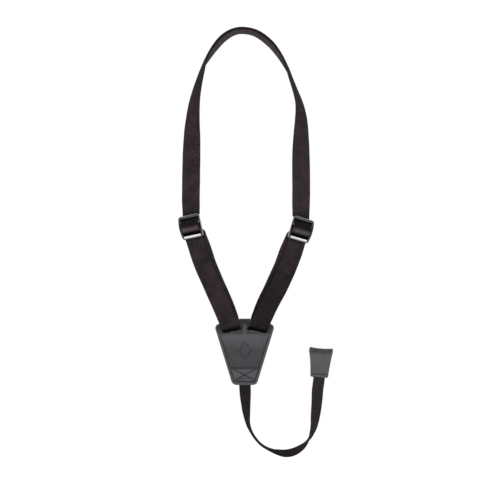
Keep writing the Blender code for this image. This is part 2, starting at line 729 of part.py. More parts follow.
def tail_webbing():
    """The tail from the yoke to the hook, in three lengths, and its ends inside both."""
    fold_x, _, fold_z = TAIL_FOLD
    rows = [
        [fold_x, 0.0, fold_z - TAIL_FOLD_GAP, -1.0, 0.0, 0.0],
        *twisted(TAIL_STATIONS, outward=-1.0),
        [*(HOOK.at + HOOK.up * RISER_END), *(-HOOK.right)],
    ]
    curve = smooth(rows, TAIL_STEPS)
    # one row comes before the stations
    left, right = TAIL_STEPS * (LEFT_BEND + 1), TAIL_STEPS * (RIGHT_BEND + 1)
    upper = trimmed(curve[: left + 1], end=BEND_GAP)
    bottom = trimmed(curve[left : right + 1], start=BEND_GAP, end=BEND_GAP)
    riser = trimmed(curve[right:], start=BEND_GAP)
    yoke_end = [[fold_x, 0.0, z, 1.0, 0.0, 0.0] for z in YOKE_END_HEIGHTS]
    hook_end = [[*(HOOK.at + HOOK.up * v), *HOOK.right] for v in HOOK_END_HEIGHTS]
    ribbon("tail_webbing_upper", upper, TAIL_SECTION, tail_body)
    ribbon("tail_webbing_bottom", bottom, TAIL_SECTION, bottom_body)
    ribbon("tail_webbing_riser", riser, TAIL_SECTION, riser_body)
    ribbon("tail_webbing_yoke_end", yoke_end, TAIL_SECTION, yoke_body)
    ribbon("tail_webbing_hook_end", hook_end, TAIL_SECTION, hook_body)


tail_webbing()

# ------------------------------------------------------------------ hook
BEND_START = HOOK_HEIGHT - HOOK_BEND_R
BEND_STEPS = 8
APEX_ROW = 4 + BEND_STEPS // 2  # four rows come before the bend
HOOK_COLUMNS = 7
FOOT_NARROWER, LIP_NARROWER = 1.3, 1.6  # at the first and last rows, each side
DISH = 0.9  # rise of the edges over the middle of the crown
DISH_LEVEL = 0.45  # share of the dish that is taken off all over
DISH_REACH = 6  # height below the bend over which the dish grows
CORE_START, CORE_TRIM = 12.0, 0.8
SKIN_OFFSET = HOOK_CORE / 2 + PLY_GAP + HOOK_SKIN / 2


def hook_half(v):
    """Half the hook's width at this height."""
    return 10.0 + 3.4 * max(0.0, v / HOOK_HEIGHT) ** 1.5


def hook_path(offset, start):
    """Side view of the hook, as (up, towards viewer), at this offset from its core's middle:
    up the front, over the bend and down the lip behind."""
    heights = (start, start + 1.5, (start + BEND_START) / 2, BEND_START - 4)
    path = [(height, offset) for height in heights]
    radius = HOOK_BEND_R + offset
    for k in range(BEND_STEPS + 1):
        a = math.pi * k / BEND_STEPS
        path.append((BEND_START + radius * math.sin(a), -HOOK_BEND_R + radius * math.cos(a)))
    lip_depth = -2 * HOOK_BEND_R - offset
    return path + [(BEND_START - 3.0, lip_depth), (BEND_START - HOOK_LIP, lip_depth)]


def hook_sheet(name, offset, thick, start, mat, trim=0.0):
    """One layer of the hook, bent over its top, tapering to its foot, with its crown dished so
    that it sits over the round edge of a sound hole."""
    outer, inner = hook_path(offset + thick / 2, start), hook_path(offset - thick / 2, start)
    last_row, last_column = len(outer) - 1, HOOK_COLUMNS - 1
    points, faces = [], []
    for path in (outer, inner):
        for i, (v, n) in enumerate(path):
            height = min((outer[i][0] + inner[i][0]) / 2, HOOK_HEIGHT)
            half = hook_half(height if i < APEX_ROW else BEND_START + 2) - trim
            if i == 0:
                half -= FOOT_NARROWER
            if i == last_row:
                half -= LIP_NARROWER
            lift = 1.0
            if i <= APEX_ROW:
                lift = clamp((height - (BEND_START - DISH_REACH)) / DISH_REACH)
            for column in range(HOOK_COLUMNS):
                s = -1 + 2 * column / last_column
                dish = DISH * (s * s - DISH_LEVEL) * lift
                points.append(HOOK.point(s * half, v + dish, n))
    size = len(outer) * HOOK_COLUMNS
    for i in range(last_row):
        below, above = i * HOOK_COLUMNS, (i + 1) * HOOK_COLUMNS
        for k in range(last_column):
            quad = (below + k, below + k + 1, above + k + 1, above + k)
            faces += [quad, tuple(size + corner for corner in reversed(quad))]
        for k in (0, last_column):
            faces.append((below + k, above + k, size + above + k, size + below + k))
    for i in (0, last_row):
        for first in range(i * HOOK_COLUMNS, i * HOOK_COLUMNS + last_column):
            faces.append((first, first + 1, size + first + 1, size + first))
    return place(name, points, faces, hook_body, mat)


def build_hook():
    """A metal core between a cover and a lining, with one line of stitching near the foot."""
    hook_sheet("hook_core", 0.0, HOOK_CORE, CORE_START, HOOK_METAL, CORE_TRIM)
    cover = hook_sheet("hook_front_cover", SKIN_OFFSET, HOOK_SKIN, 0.0, LEATHER_GREY)
    hook_sheet("hook_inner_lining", -SKIN_OFFSET, HOOK_SKIN, 0.0, LEATHER_GREY)
    seam = Seam(
        cover, HOOK, SKIN_OFFSET + HOOK_SKIN / 2, hook_body,
        groove_half=0.6, groove_deep=0.5, thread_half=0.3, thread_deep=0.22,
    )
    stitch(seam, [(-7.4, 3.6), (7.4, 3.6)], "hook_groove", "hook_stitching")


build_hook()
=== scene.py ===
"""An instrument neck strap: a loop of woven webbing down to two plated slides, doubled webbing from
the slides to a sewn leather yoke, and a narrower tail that curves up to a leather hook.

X runs across it, Z is up, and it is seen from the front, -Y. Lengths are millimetres until a mesh
is made, and depths are counted from the yoke's mid-plane."""

import math
from types import SimpleNamespace

import bmesh
import bpy
import numpy as np
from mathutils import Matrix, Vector


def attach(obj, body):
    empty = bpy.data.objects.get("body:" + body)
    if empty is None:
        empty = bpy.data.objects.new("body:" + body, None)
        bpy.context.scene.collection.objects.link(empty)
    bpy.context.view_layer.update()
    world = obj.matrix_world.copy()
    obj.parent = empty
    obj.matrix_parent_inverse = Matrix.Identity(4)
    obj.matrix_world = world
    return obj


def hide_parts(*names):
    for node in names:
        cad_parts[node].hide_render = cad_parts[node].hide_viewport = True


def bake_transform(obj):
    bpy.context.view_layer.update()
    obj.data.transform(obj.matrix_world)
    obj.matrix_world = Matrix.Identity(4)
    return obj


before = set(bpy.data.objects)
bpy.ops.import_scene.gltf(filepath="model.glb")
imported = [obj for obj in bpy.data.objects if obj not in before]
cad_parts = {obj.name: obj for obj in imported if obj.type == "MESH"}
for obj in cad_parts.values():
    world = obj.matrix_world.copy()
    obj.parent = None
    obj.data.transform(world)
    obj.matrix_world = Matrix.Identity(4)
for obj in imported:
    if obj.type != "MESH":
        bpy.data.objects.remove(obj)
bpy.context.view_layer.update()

MM = 0.001
# the yoke's leathers reach this far from its mid-plane, and the frame's origin is on its back face
FACE_OUT = 2.9
SHIFT = np.array([0.0, -FACE_OUT, 0.0])
TOWARDS = np.array([0.0, -1.0, 0.0])
UPWARDS = np.array([0.0, 0.0, 1.0])

NECK_WIDTH, NECK_THICK = 20.3, 1.5
TAIL_WIDTH, TAIL_THICK = 13.0, 1.6
STITCH_PITCH = 2.8

# what differs between the sides:
#   inward: the sign of X towards the middle
#   at, roll, yaw: the slide's middle, and its turns in degrees
#   enter: how far across the slide the neck loop comes in
#   turn: degrees the webbing turns below the slide
#   drift, back_drift: how far the front and back webbing go inward for each millimetre down
#   back_aside: how far inward the back webbing lies
#   lean: degrees the doubled webbing leans
#   shade, loop_pale: how much painted shade darkens the doubled webbing, and the least painted light
#       on the loop
#   front, back: x, z and y of the doubled webbing's stations
LEFT = SimpleNamespace(
    name="left", inward=1.0, at=(-60.1, -2.6, 140.7), roll=12.0, yaw=13.0, enter=2.2,
    turn=10.6, drift=0.10, back_drift=0.155, back_aside=3.6, lean=22.6, shade=0.12, loop_pale=0.0,
    front=[(-48.3, 102.3, -0.4), (-36.8, 76.2, -1.0), (-24.9, 49.4, -2.9)],
    back=[(-41.5, 98.0, 3.2), (-32.6, 76.2, 3.3), (-21.1, 49.4, 3.8)],
)
RIGHT = SimpleNamespace(
    name="right", inward=-1.0, at=(63.1, -2.6, 137.6), roll=-16.0, yaw=-13.0, enter=-2.8,
    turn=8.6, drift=0.0, back_drift=0.148, back_aside=3.1, lean=-24.6, shade=0.42, loop_pale=0.07,
    front=[(51.3, 102.3, -0.4), (40.0, 76.2, -1.0), (25.8, 49.4, -2.9)],
    back=[(43.8, 98.0, 3.2), (34.2, 76.2, 3.3), (21.8, 49.4, 3.8)],
)
SIDES = (LEFT, RIGHT)


# ------------------------------------------------------------------ small sums
def clamp(value):
    return np.clip(value, 0.0, 1.0)


def fade(value, zero, one):
    """0 where the value is at zero or beyond, rising evenly to 1 at one."""
    return clamp((value - zero) / (one - zero))


def ease(value, zero, one):
    """As fade, with soft ends."""
    share = fade(value, zero, one)
    return share * share * (3 - 2 * share)


def ridge(distance, width, power=2):
    """1 at no distance, falling away over the width."""
    return np.exp(-((distance / width) ** power))


def unit(vector):
    vector = np.array(vector, float)
    return vector / np.linalg.norm(vector)


def metres(points):
    """Millimetres from the mid-plane, as metres in the frame."""
    return (np.array(points, float) + SHIFT) * MM


# ------------------------------------------------------------------ materials
def toned(colour, times):
    return tuple(min(1.0, times * part) for part in colour)


class Nodes:
    """A small builder for a material's shader."""

    def __init__(self, name):
        self.material = bpy.data.materials.new(name)
        self.material.use_nodes = True
        self.tree = self.material.node_tree
        self.shader = self.tree.nodes["Principled BSDF"]

    def put(self, socket, value):
        if isinstance(value, bpy.types.NodeSocket):
            self.tree.links.new(value, socket)
        else:
            socket.default_value = value

    def add(self, kind, **inputs):
        node = self.tree.nodes.new("ShaderNode" + kind)
        for key, value in inputs.items():
            self.put(node.inputs[key], value)
        return node

    def calc(self, operation, *values):
        node = self.add("Math")
        node.operation = operation
        for socket, value in zip(node.inputs, values):
            self.put(socket, value)
        return node.outputs[0]

    def place(self):
        return self.add("TexCoord").outputs["Object"]

    def marked(self, name):
        """A value stored on the mesh by marks()."""
        node = self.add("Attribute")
        node.attribute_name = name
        return node.outputs["Fac"]

    def noise(self, place, scale, detail, rough):
        node = self.add("TexNoise", Scale=scale, Detail=detail, Roughness=rough, Vector=place)
        return node.outputs["Fac"]

    def mix(self, share, first, second):
        node = self.add("Mix")
        node.data_type = "RGBA"
        self.put(node.inputs["Factor"], share)
        for key, colour in (("A", first), ("B", second)):
            self.put(node.inputs[key], (*colour, 1.0) if isinstance(colour, tuple) else colour)
        return node.outputs["Result"]

    def spread(self, value, low, high):
        """Maps a 0 to 1 value to low to high."""
        return self.calc("ADD", self.calc("MULTIPLY", value, high - low), low)

    def above(self, value, level, gain):
        """How far a value is above a level, times the gain, held between 0 and 1."""
        over = self.calc("MULTIPLY", self.calc("SUBTRACT", value, level), gain)
        return self.add("Clamp", Value=over).outputs[0]

    def bump(self, height, distance, strength, below=None):
        node = self.add("Bump", Strength=strength, Distance=distance, Height=height)
        if below is not None:
            self.put(node.inputs["Normal"], below)
        return node.outputs["Normal"]

    def finish(self, **inputs):
        for key, value in inputs.items():
            self.put(self.shader.inputs[key.replace("_", " ")], value)
        return self.material


def webbing_material(name, dark, light, tint, warp, weft):
    """Plain-woven webbing, from its "strip" map of millimetres across and along it. warp is the
    pitch of its yarn columns and weft that of the crossings along one."""
    nodes = Nodes(name)
    strip = nodes.add("UVMap")
    strip.uv_map = "strip"
    parts = nodes.add("SeparateXYZ", Vector=strip.outputs["UV"])
    across, along = parts.outputs["X"], parts.outputs["Y"]
    # each column is a rounded yarn, half a crossing out of step with the next
    column = nodes.calc("FLOOR", nodes.calc("DIVIDE", across, warp))
    within = nodes.calc("FRACT", nodes.calc("DIVIDE", across, warp))
    rounded_yarn = nodes.calc("SINE", nodes.calc("MULTIPLY", within, math.pi))
    step = nodes.calc("MULTIPLY", column, 0.5)
    phase = nodes.calc("ADD", nodes.calc("DIVIDE", along, weft), step)
    wave = nodes.calc("SINE", nodes.calc("MULTIPLY", phase, math.pi))
    crossing = nodes.spread(nodes.calc("ABSOLUTE", wave), low=0.35, high=1.0)
    yarn = nodes.calc("MULTIPLY", nodes.calc("POWER", rounded_yarn, 0.5), crossing)
    place = nodes.place()
    patch = nodes.noise(place, scale=55.0, detail=3.0, rough=0.6)
    fuzz = nodes.noise(place, scale=2600.0, detail=2.0, rough=0.7)
    lint = nodes.noise(place, scale=700.0, detail=2.0, rough=0.6)
    mottle = nodes.noise(place, scale=330.0, detail=2.0, rough=0.65)
    colour = nodes.mix(nodes.spread(yarn, low=0.0, high=1.0), dark, light)
    # uneven dark mottling
    even_share = nodes.above(mottle, level=0.36, gain=3.2)
    mottled = nodes.calc("MULTIPLY", nodes.calc("SUBTRACT", 1.0, even_share), 0.62)
    colour = nodes.mix(mottled, colour, toned(dark, 0.5))
    # tinted patches
    patched = nodes.above(patch, level=0.42, gain=2.6)
    colour = nodes.mix(patched, colour, nodes.mix(yarn, toned(tint, 0.7), tint))
    # faint specks of lint
    specks = nodes.calc("MULTIPLY", nodes.calc("GREATER_THAN", lint, 0.72), 0.12)
    colour = nodes.mix(specks, colour, toned(light, 1.8))
    # where the mesh is marked pale or deep; on the loop, the slides and the doubled webbing these
    # marks are painted light and painted shade
    pale = nodes.marked("pale")
    colour = nodes.mix(pale, colour, nodes.mix(yarn, toned(light, 1.7), toned(light, 3.6)))
    colour = nodes.mix(nodes.marked("deep"), colour, toned(dark, 0.12))
    height = nodes.calc("ADD", yarn, nodes.calc("MULTIPLY", fuzz, 0.35))
    return nodes.finish(
        Base_Color=colour,
        Roughness=nodes.spread(fuzz, low=0.78, high=0.98),
        Normal=nodes.bump(height, distance=0.00035, strength=0.9),
        Sheen_Weight=0.05,
        Sheen_Roughness=0.4,
        Sheen_Tint=(0.62, 0.55, 0.57, 1.0),
        Specular_IOR_Level=0.2,
    )


def leather_material(name, dark, light, edge=False):
    """Fine-grained leather: pebbled cells, creases between them and rubbed patches, pale and dark
    where the mesh is marked, mostly painted light and painted shade, and worn at its edges if asked."""
    nodes = Nodes(name)
    place = nodes.place()
    # the cells' outlines are bent a little out of true
    bend = nodes.add("TexNoise", Scale=300.0, Detail=2.0, Vector=place).outputs["Color"]
    warped = nodes.add("VectorMath")
    warped.operation = "MULTIPLY_ADD"
    nodes.put(warped.inputs[0], bend)
    warped.inputs[1].default_value = (0.0008, 0.0008, 0.0008)
    nodes.put(warped.inputs[2], place)
    cell = nodes.add("TexVoronoi", Scale=1100.0, Vector=warped.outputs[0])
    cell.feature = "DISTANCE_TO_EDGE"
    # 0 in a crease, 1 on a cell
    crease = nodes.calc("MINIMUM", nodes.calc("MULTIPLY", cell.outputs["Distance"], 5.0), 1.0)
    pores = nodes.noise(place, scale=4200.0, detail=2.0, rough=0.7)
    patch = nodes.noise(place, scale=60.0, detail=4.0, rough=0.6)
    rubbed = nodes.noise(place, scale=240.0, detail=4.0, rough=0.65)
    broad_tone = nodes.calc("MULTIPLY", patch, 0.6)
    tone = nodes.calc("ADD", broad_tone, nodes.calc("MULTIPLY", rubbed, 0.5))
    colour = nodes.mix(nodes.above(tone, level=0.3, gain=1.9), dark, light)
    creased = nodes.calc("MULTIPLY", nodes.calc("SUBTRACT", 1.0, crease), 0.45)
    colour = nodes.mix(creased, colour, toned(dark, 0.45))
    # the marks: mostly painted light (pale) and painted shade (deep)
    colour = nodes.mix(nodes.marked("pale"), colour, toned(light, 1.75))
    colour = nodes.mix(nodes.marked("deep"), colour, toned(dark, 0.34))
    if edge:
        shape = nodes.add("NewGeometry").outputs["Pointiness"]
        worn = nodes.calc("MULTIPLY", nodes.above(shape, level=0.52, gain=9.0), 0.5)
        colour = nodes.mix(worn, colour, toned(light, 1.9))
    height = nodes.calc("ADD", crease, nodes.calc("MULTIPLY", pores, 0.4))
    coarse = nodes.bump(rubbed, distance=0.0006, strength=0.25)
    return nodes.finish(
        Base_Color=colour,
        Roughness=nodes.spread(rubbed, low=0.42, high=0.66),
        Normal=nodes.bump(height, distance=0.00022, strength=0.6, below=coarse),
        Specular_IOR_Level=0.42,
        Coat_Weight=0.06,
        Coat_Roughness=0.45,
    )


def plated_material(name, colour, rough):
    """Plated metal with faint wiping marks and a duller patch here and there."""
    nodes = Nodes(name)
    place = nodes.place()
    stretch = nodes.add("Mapping", Vector=place)
    stretch.inputs["Scale"].default_value = (300.0, 300.0, 3800.0)
    wipe = nodes.noise(stretch.outputs[0], scale=1.0, detail=3.0, rough=0.6)
    dull = nodes.noise(place, scale=320.0, detail=3.0, rough=0.6)
    tone = nodes.mix(nodes.spread(dull, low=0.0, high=0.7), toned(colour, 0.72), colour)
    # painted shade where the mesh is marked deep
    tone = nodes.mix(nodes.marked("deep"), tone, toned(colour, 0.30))
    wiped = nodes.calc("MULTIPLY", wipe, 0.10)
    return nodes.finish(
        Base_Color=tone,
        Metallic=1.0,
        Roughness=nodes.calc("ADD", wiped, nodes.spread(dull, rough - 0.05, rough + 0.10)),
        Normal=nodes.bump(wipe, distance=0.00004, strength=0.22),
    )


def thread_material(name, dark, light):
    """Twisted sewing thread."""
    nodes = Nodes(name)
    place = nodes.place()
    twist = nodes.add("TexWave", Scale=900.0, Distortion=1.5, Detail=2.0, Vector=place)
    twist.bands_direction = "DIAGONAL"
    ply = twist.outputs["Fac"]
    return nodes.finish(
        Base_Color=nodes.mix(ply, dark, light),
        Roughness=nodes.spread(ply, low=0.5, high=0.75),
        Normal=nodes.bump(ply, distance=0.00012, strength=0.8),
        Sheen_Weight=0.1,
    )


NECK_WEB = webbing_material(
    "neck_webbing_weave", dark=(0.016, 0.0125, 0.0135), light=(0.047, 0.037, 0.040),
    tint=(0.062, 0.040, 0.046), warp=1.0, weft=2.0,
)
TAIL_WEB = webbing_material(
    "tail_webbing_weave", dark=(0.0085, 0.0068, 0.0072), light=(0.027, 0.0215, 0.023),
    tint=(0.036, 0.024, 0.027), warp=0.9, weft=1.8,
)
LEATHER = leather_material(
    "grey_leather", dark=(0.055, 0.054, 0.058), light=(0.088, 0.086, 0.094), edge=True
)
HOOK_LEATHER = leather_material(
    "hook_leather", dark=(0.100, 0.094, 0.099), light=(0.146, 0.137, 0.144), edge=True
)
PLATED = plated_material("nickel_plate", colour=(0.86, 0.85, 0.87), rough=0.20)
ROD = plated_material("nickel_rod", colour=(0.62, 0.61, 0.60), rough=0.28)
STRIP = plated_material("spring_strip", colour=(0.30, 0.30, 0.31), rough=0.35)
THREAD = thread_material("dark_thread", dark=(0.010, 0.010, 0.011), light=(0.038, 0.037, 0.040))
BOARD = leather_material("stiffener_board", dark=(0.16, 0.13, 0.10), light=(0.26, 0.22, 0.17))


# ------------------------------------------------------------------ meshes
def added(name, data):
    obj = bpy.data.objects.new(name, data)
    bpy.context.scene.collection.objects.link(obj)
    return obj


def made(name, points, faces, material, strip=None, sharp=None):
    """A smooth object. strip is its vertices' places in the "strip" map, and sharp the angle in
    degrees above which its edges stay sharp."""
    mesh = bpy.data.meshes.new(name)
    mesh.from_pydata(metres(points).tolist(), [], [tuple(face) for face in faces])
    shape = bmesh.new()
    shape.from_mesh(mesh)
    bmesh.ops.recalc_face_normals(shape, faces=shape.faces)
    shape.to_mesh(mesh)
    shape.free()
    if strip is not None:
        layer = mesh.uv_layers.new(name="strip")
        index = np.zeros(len(mesh.loops), np.int32)
        mesh.loops.foreach_get("vertex_index", index)
        layer.data.foreach_set("uv", np.array(strip, np.float32)[index].ravel())
    mesh.polygons.foreach_set("use_smooth", np.ones(len(mesh.polygons), bool))
    if sharp:
        mesh.set_sharp_from_angle(angle=math.radians(sharp))
    mesh.materials.append(material)
    return added(name, mesh)


def marks(obj, **values):
    """Stores a 0 to 1 value for each vertex, for the materials to read."""
    for key, value in values.items():
        layer = obj.data.attributes.new(key, "FLOAT", "POINT")
        layer.data.foreach_set("value", clamp(np.array(value, np.float32)))
    return obj


def spots(obj):
    """An object's vertices, in millimetres from the frame's origin."""
    return np.array([tuple(vertex.co) for vertex in obj.data.vertices]) / MM


def ride(obj, body, slot, *nodes):
    """The object moves with one body and replaces the CAD nodes."""
    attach(obj, body)
    if nodes:
        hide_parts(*nodes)


def blend(obj, first, second, start, end, *nodes):
    """Webbing meant to pass from one body at start to another at end: its placement is baked into its
    mesh and the CAD nodes it replaces are hidden; first, second, start and end are not used.
    """
    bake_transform(obj)
    if nodes:
        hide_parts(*nodes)


def smooth(rows, steps):
    """A smooth curve through control rows, whose first three columns are a position."""
    rows = np.array(rows, float)
    span = np.maximum(np.linalg.norm(np.diff(rows[:, :3], axis=0), axis=1), 1e-6)
    slope = np.diff(rows, axis=0) / span[:, None]
    before, after = span[:-1, None], span[1:, None]
    tangent = np.empty_like(rows)
    tangent[0], tangent[-1] = slope[0], slope[-1]
    tangent[1:-1] = (slope[:-1] * after + slope[1:] * before) / (before + after)
    curve = []
    for i in range(len(span)):
        for t in np.linspace(0.0, 1.0, steps, endpoint=False):
            curve.append(
                (2 * t**3 - 3 * t**2 + 1) * rows[i]
                + (t**3 - 2 * t**2 + t) * span[i] * tangent[i]
                + (3 * t**2 - 2 * t**3) * rows[i + 1]
                + (t**3 - t**2) * span[i] * tangent[i + 1]
            )
    curve.append(rows[-1])
    return np.array(curve)


def twisted(stations, outward):
    """Rows of position and width direction from (x, z, twist in degrees) stations. An untwisted
    width lies in the XZ plane, and 90 degrees turns it to the back."""
    places = np.array([(x, 0.0, z) for x, z, _ in stations])
    rows = []
    for place, heading, (_, _, twist) in zip(places, np.gradient(places, axis=0), stations):
        out = outward * unit((-heading[2], 0.0, heading[0]))
        angle = math.radians(twist)
        rows.append([*place, *(math.cos(angle) * out - math.sin(angle) * TOWARDS)])
    return rows


def even(rows, step):
    """The rows at an even spacing, with a whole number of steps, and their places along."""
    rows = np.array(rows, float)
    spans = np.linalg.norm(np.diff(rows[:, :3], axis=0), axis=1)
    length = np.concatenate([[0.0], np.cumsum(spans)])
    count = max(2, int(round(length[-1] / step)))
    places = np.linspace(0.0, length[-1], count + 1)
    columns = [np.interp(places, length, rows[:, k]) for k in range(rows.shape[1])]
    return np.stack(columns, 1), places


def wander(place, seed):
    """A slow, even wander between -1 and 1."""
    quick = 0.7 * math.sin(place / 4.3 + 0.7 * seed)
    slow = 0.5 * math.sin(place / 23.0 + 2.3 * seed)
    return (math.sin(place / 9.7 + 1.9 * seed) + quick + slow) / 2.2


# the webbing's middle in the "strip" map
STRIP_MIDDLE = 40.0
# how far yarns stand in and out at their crossings, and the length that settles at a strap's ends
YARN_RELIEF, SETTLED = 0.05, 7.0


def strap(
    name, rows, start=0.0, step=1.0, seed=1.0, loose=0.12, fray=0.16, cup=None,
    width=NECK_WIDTH, thick=NECK_THICK, material=NECK_WEB, columns=21,
):
    """Woven webbing along rows of position and width direction, with rounded, serrated selvages
    and a shallow checker of yarn crossings. start is its first row's place along the whole strip,
    loose how far it wanders, fray the selvages' teeth, and cup(place) how much it is hollowed."""
    rows, length = even(rows, step)
    middles = rows[:, :3]
    widths = [unit(row) for row in rows[:, 3:6]]
    radius = thick / 2
    flat = width / 2 - radius
    selvage = []
    for angle in np.radians((50, 0, -50)):
        selvage.append((radius * math.cos(angle), radius * math.sin(angle)))
    # the section: how far across, how far out of the face, and which face (0 on a selvage)
    ring = [(across, radius, 1) for across in np.linspace(-flat, flat, columns)]
    ring += [(flat + across, out, 0) for across, out in selvage]
    ring += [(across, -radius, -1) for across in np.linspace(flat, -flat, columns)]
    ring += [(-flat - across, out, 0) for across, out in selvage[::-1]]
    size = len(ring)
    points, strip = [], []
    headings = np.gradient(middles, axis=0)
    for i, (middle, side, heading, place) in enumerate(zip(middles, widths, headings, length)):
        face = unit(np.cross(heading, side))
        free = min(1.0, min(place, length[-1] - place) / SETTLED) * loose
        hollow = cup(middle) if cup else 0.0
        beat = 1 if i % 2 else -1
        place = place + start
        shift = 0.5 * free * wander(place, seed)
        for j, (across, out, facing) in enumerate(ring):
            if facing:
                column = j if facing > 0 else j - columns - 3
                out = out + YARN_RELIEF * beat * (1 if column % 2 else -1)
            else:
                edge = math.copysign(1.0, across)
                across = across + edge * (fray / 2 * beat + free * wander(place, seed + edge))
            share = (2 * across / width) ** 2
            bow = free * 0.8 * wander(place, seed + 4.0) * (1 - share) + hollow * (0.5 - share)
            points.append(middle + side * (across + shift) + face * (out + bow))
            strip.append((across + STRIP_MIDDLE, place))
    faces = []
    last = size * (len(middles) - 1)
    for base in range(0, last, size):
        for k in range(size):
            here, there = base + k, base + (k + 1) % size
            faces.append((here, there, there + size, here + size))
    for base in (0, last):
        # the end caps, as strips between the two faces, with a piece at each selvage
        top = list(range(base, base + columns))
        low = [base + 2 * columns + 2 - k for k in range(columns)]
        for k in range(columns - 1):
            faces.append((top[k], top[k + 1], low[k + 1], low[k]))
        right = base + columns
        faces.append((top[-1], right, right + 1, right + 2, low[-1]))
        left = base + 2 * columns + 3
        faces.append((low[0], left, left + 1, left + 2, top[0]))
    return made(name, points, faces, material, strip, sharp=60)


def stitches(name, lines, length, pitch=STITCH_PITCH, radius=0.36, slant=9.0):
    """Sewn stitches along lines of (start, end, outward), each a short rounded thread whose ends
    dip into the face. slant is in degrees."""
    points, faces = [], []
    around, steps = 7, 5
    cosine, sine = math.cos(math.radians(slant)), math.sin(math.radians(slant))
    for start, end, out in lines:
        start, out = np.array(start, float), unit(out)
        run = np.array(end, float) - start
        count = max(1, int(round(np.linalg.norm(run) / pitch)))
        heading = unit(run)
        square = unit(np.cross(out, heading))
        along = heading * cosine + square * sine
        side = square * cosine - heading * sine
        for k in range(count):
            middle = start + run * (k + 0.5) / count
            base = len(points)
            for i in range(steps):
                t = -1 + 2 * i / (steps - 1)
                thick = radius * math.sqrt(max(0.10, 1 - abs(t) ** 3.0))
                dip = -0.30 * radius * abs(t) ** 3
                for j in range(around):
                    angle = 2 * math.pi * j / around
                    rise = thick * math.sin(angle) * 0.85 + dip
                    sideways = side * thick * math.cos(angle)
                    points.append(middle + along * t * length / 2 + sideways + out * rise)
            for i in range(steps - 1):
                for j in range(around):
                    here = base + around * i + j
                    there = base + around * i + (j + 1) % around
                    faces.append((here, there, there + around, here + around))
            faces.append(tuple(base + j for j in range(around - 1, -1, -1)))
            faces.append(tuple(base + around * (steps - 1) + j for j in range(around)))
    return made(name, points, faces, THREAD)


# ------------------------------------------------------------------ slides
SLIDE_INSIDE, SLIDE_ARM, SLIDE_BAR, SLIDE_PITCH, ROD_RADIUS = 21.0, 1.5, 3.0, 11.4, 1.25
CORNER_RADIUS = 2.0
ARM_HALF, SECTION_HALF_DEPTH = 0.90, 1.45
GAP, PLY_GAP = 0.3, 0.35
# the webbing's levels out of the slide's plane
UNDER_BAR = -(SLIDE_BAR / 2 + GAP + NECK_THICK / 2)
OVER_ROD = ROD_RADIUS + GAP + NECK_THICK + PLY_GAP + NECK_THICK / 2
AROUND_ROD = ROD_RADIUS + GAP + NECK_THICK / 2
END_LEVEL = UNDER_BAR - NECK_THICK - PLY_GAP
BACK_LEVEL = END_LEVEL - NECK_THICK - PLY_GAP
# places below the slide's middle
TONGUE_END, BACK_START, DRIFT_START = -22.0, -25.0, 11.5

for side in SIDES:
    roll, yaw = math.radians(side.roll), math.radians(side.yaw)
    level = np.array([math.cos(roll), 0.0, math.sin(roll)])
    side.middle = np.array(side.at)
    side.across = math.cos(yaw) * level + math.sin(yaw) * TOWARDS
    side.up = np.array([-math.sin(roll), 0.0, math.cos(roll)])
    side.out = math.cos(yaw) * TOWARDS - math.sin(yaw) * level


def leaning_rows(side, profile, back=False):
    """Rows from a profile of (height, level) in the slide's frame, turning and drifting inward
    below it."""
    if back:
        begin, finish, aside, drift = 2.5, 11.5, side.back_aside, side.back_drift
    else:
        begin, finish, aside, drift = DRIFT_START, 21.5, 0.0, side.drift
    rows = []
    for height, level in profile:
        share = ease(-height, begin, finish)
        angle = math.radians(side.turn) * share * side.inward
        shift = (aside * share + max(0.0, -height - DRIFT_START) * drift) * side.inward
        place = side.middle + side.up * height + side.out * level + side.across * shift
        rows.append([*place, *(side.across * math.cos(angle) + side.up * math.sin(angle))])
    return rows


def squared(value):
    """Pushes a sine or cosine outward, for a square section with rounded corners."""
    return math.copysign(abs(value) ** 0.28, value)


def slide_path():
    """The frame's centre line, as (across, up, angle of its outer side)."""
    half_across = SLIDE_INSIDE / 2 + SLIDE_ARM / 2
    bend_across, bend_up = half_across - CORNER_RADIUS, SLIDE_PITCH - CORNER_RADIUS
    # each corner's signs, its first angle, and where the straight after it ends
    corners = [
        (1, 1, 0, (-bend_across, SLIDE_PITCH)),
        (-1, 1, 90, (-half_across, -bend_up)),
        (-1, -1, 180, (bend_across, -SLIDE_PITCH)),
        (1, -1, 270, (half_across, bend_up)),
    ]
    path = []
    for sign_across, sign_up, first, (end_x, end_z) in corners:
        for k in range(9):
            angle = math.radians(first + 90 * k / 8)
            x = sign_across * bend_across + CORNER_RADIUS * math.cos(angle)
            z = sign_up * bend_up + CORNER_RADIUS * math.sin(angle)
            path.append((x, z, angle))
        for k in range(1, 14):
            share = k / 14
            path.append((x + (end_x - x) * share, z + (end_z - z) * share, math.radians(first + 90)))
    return path


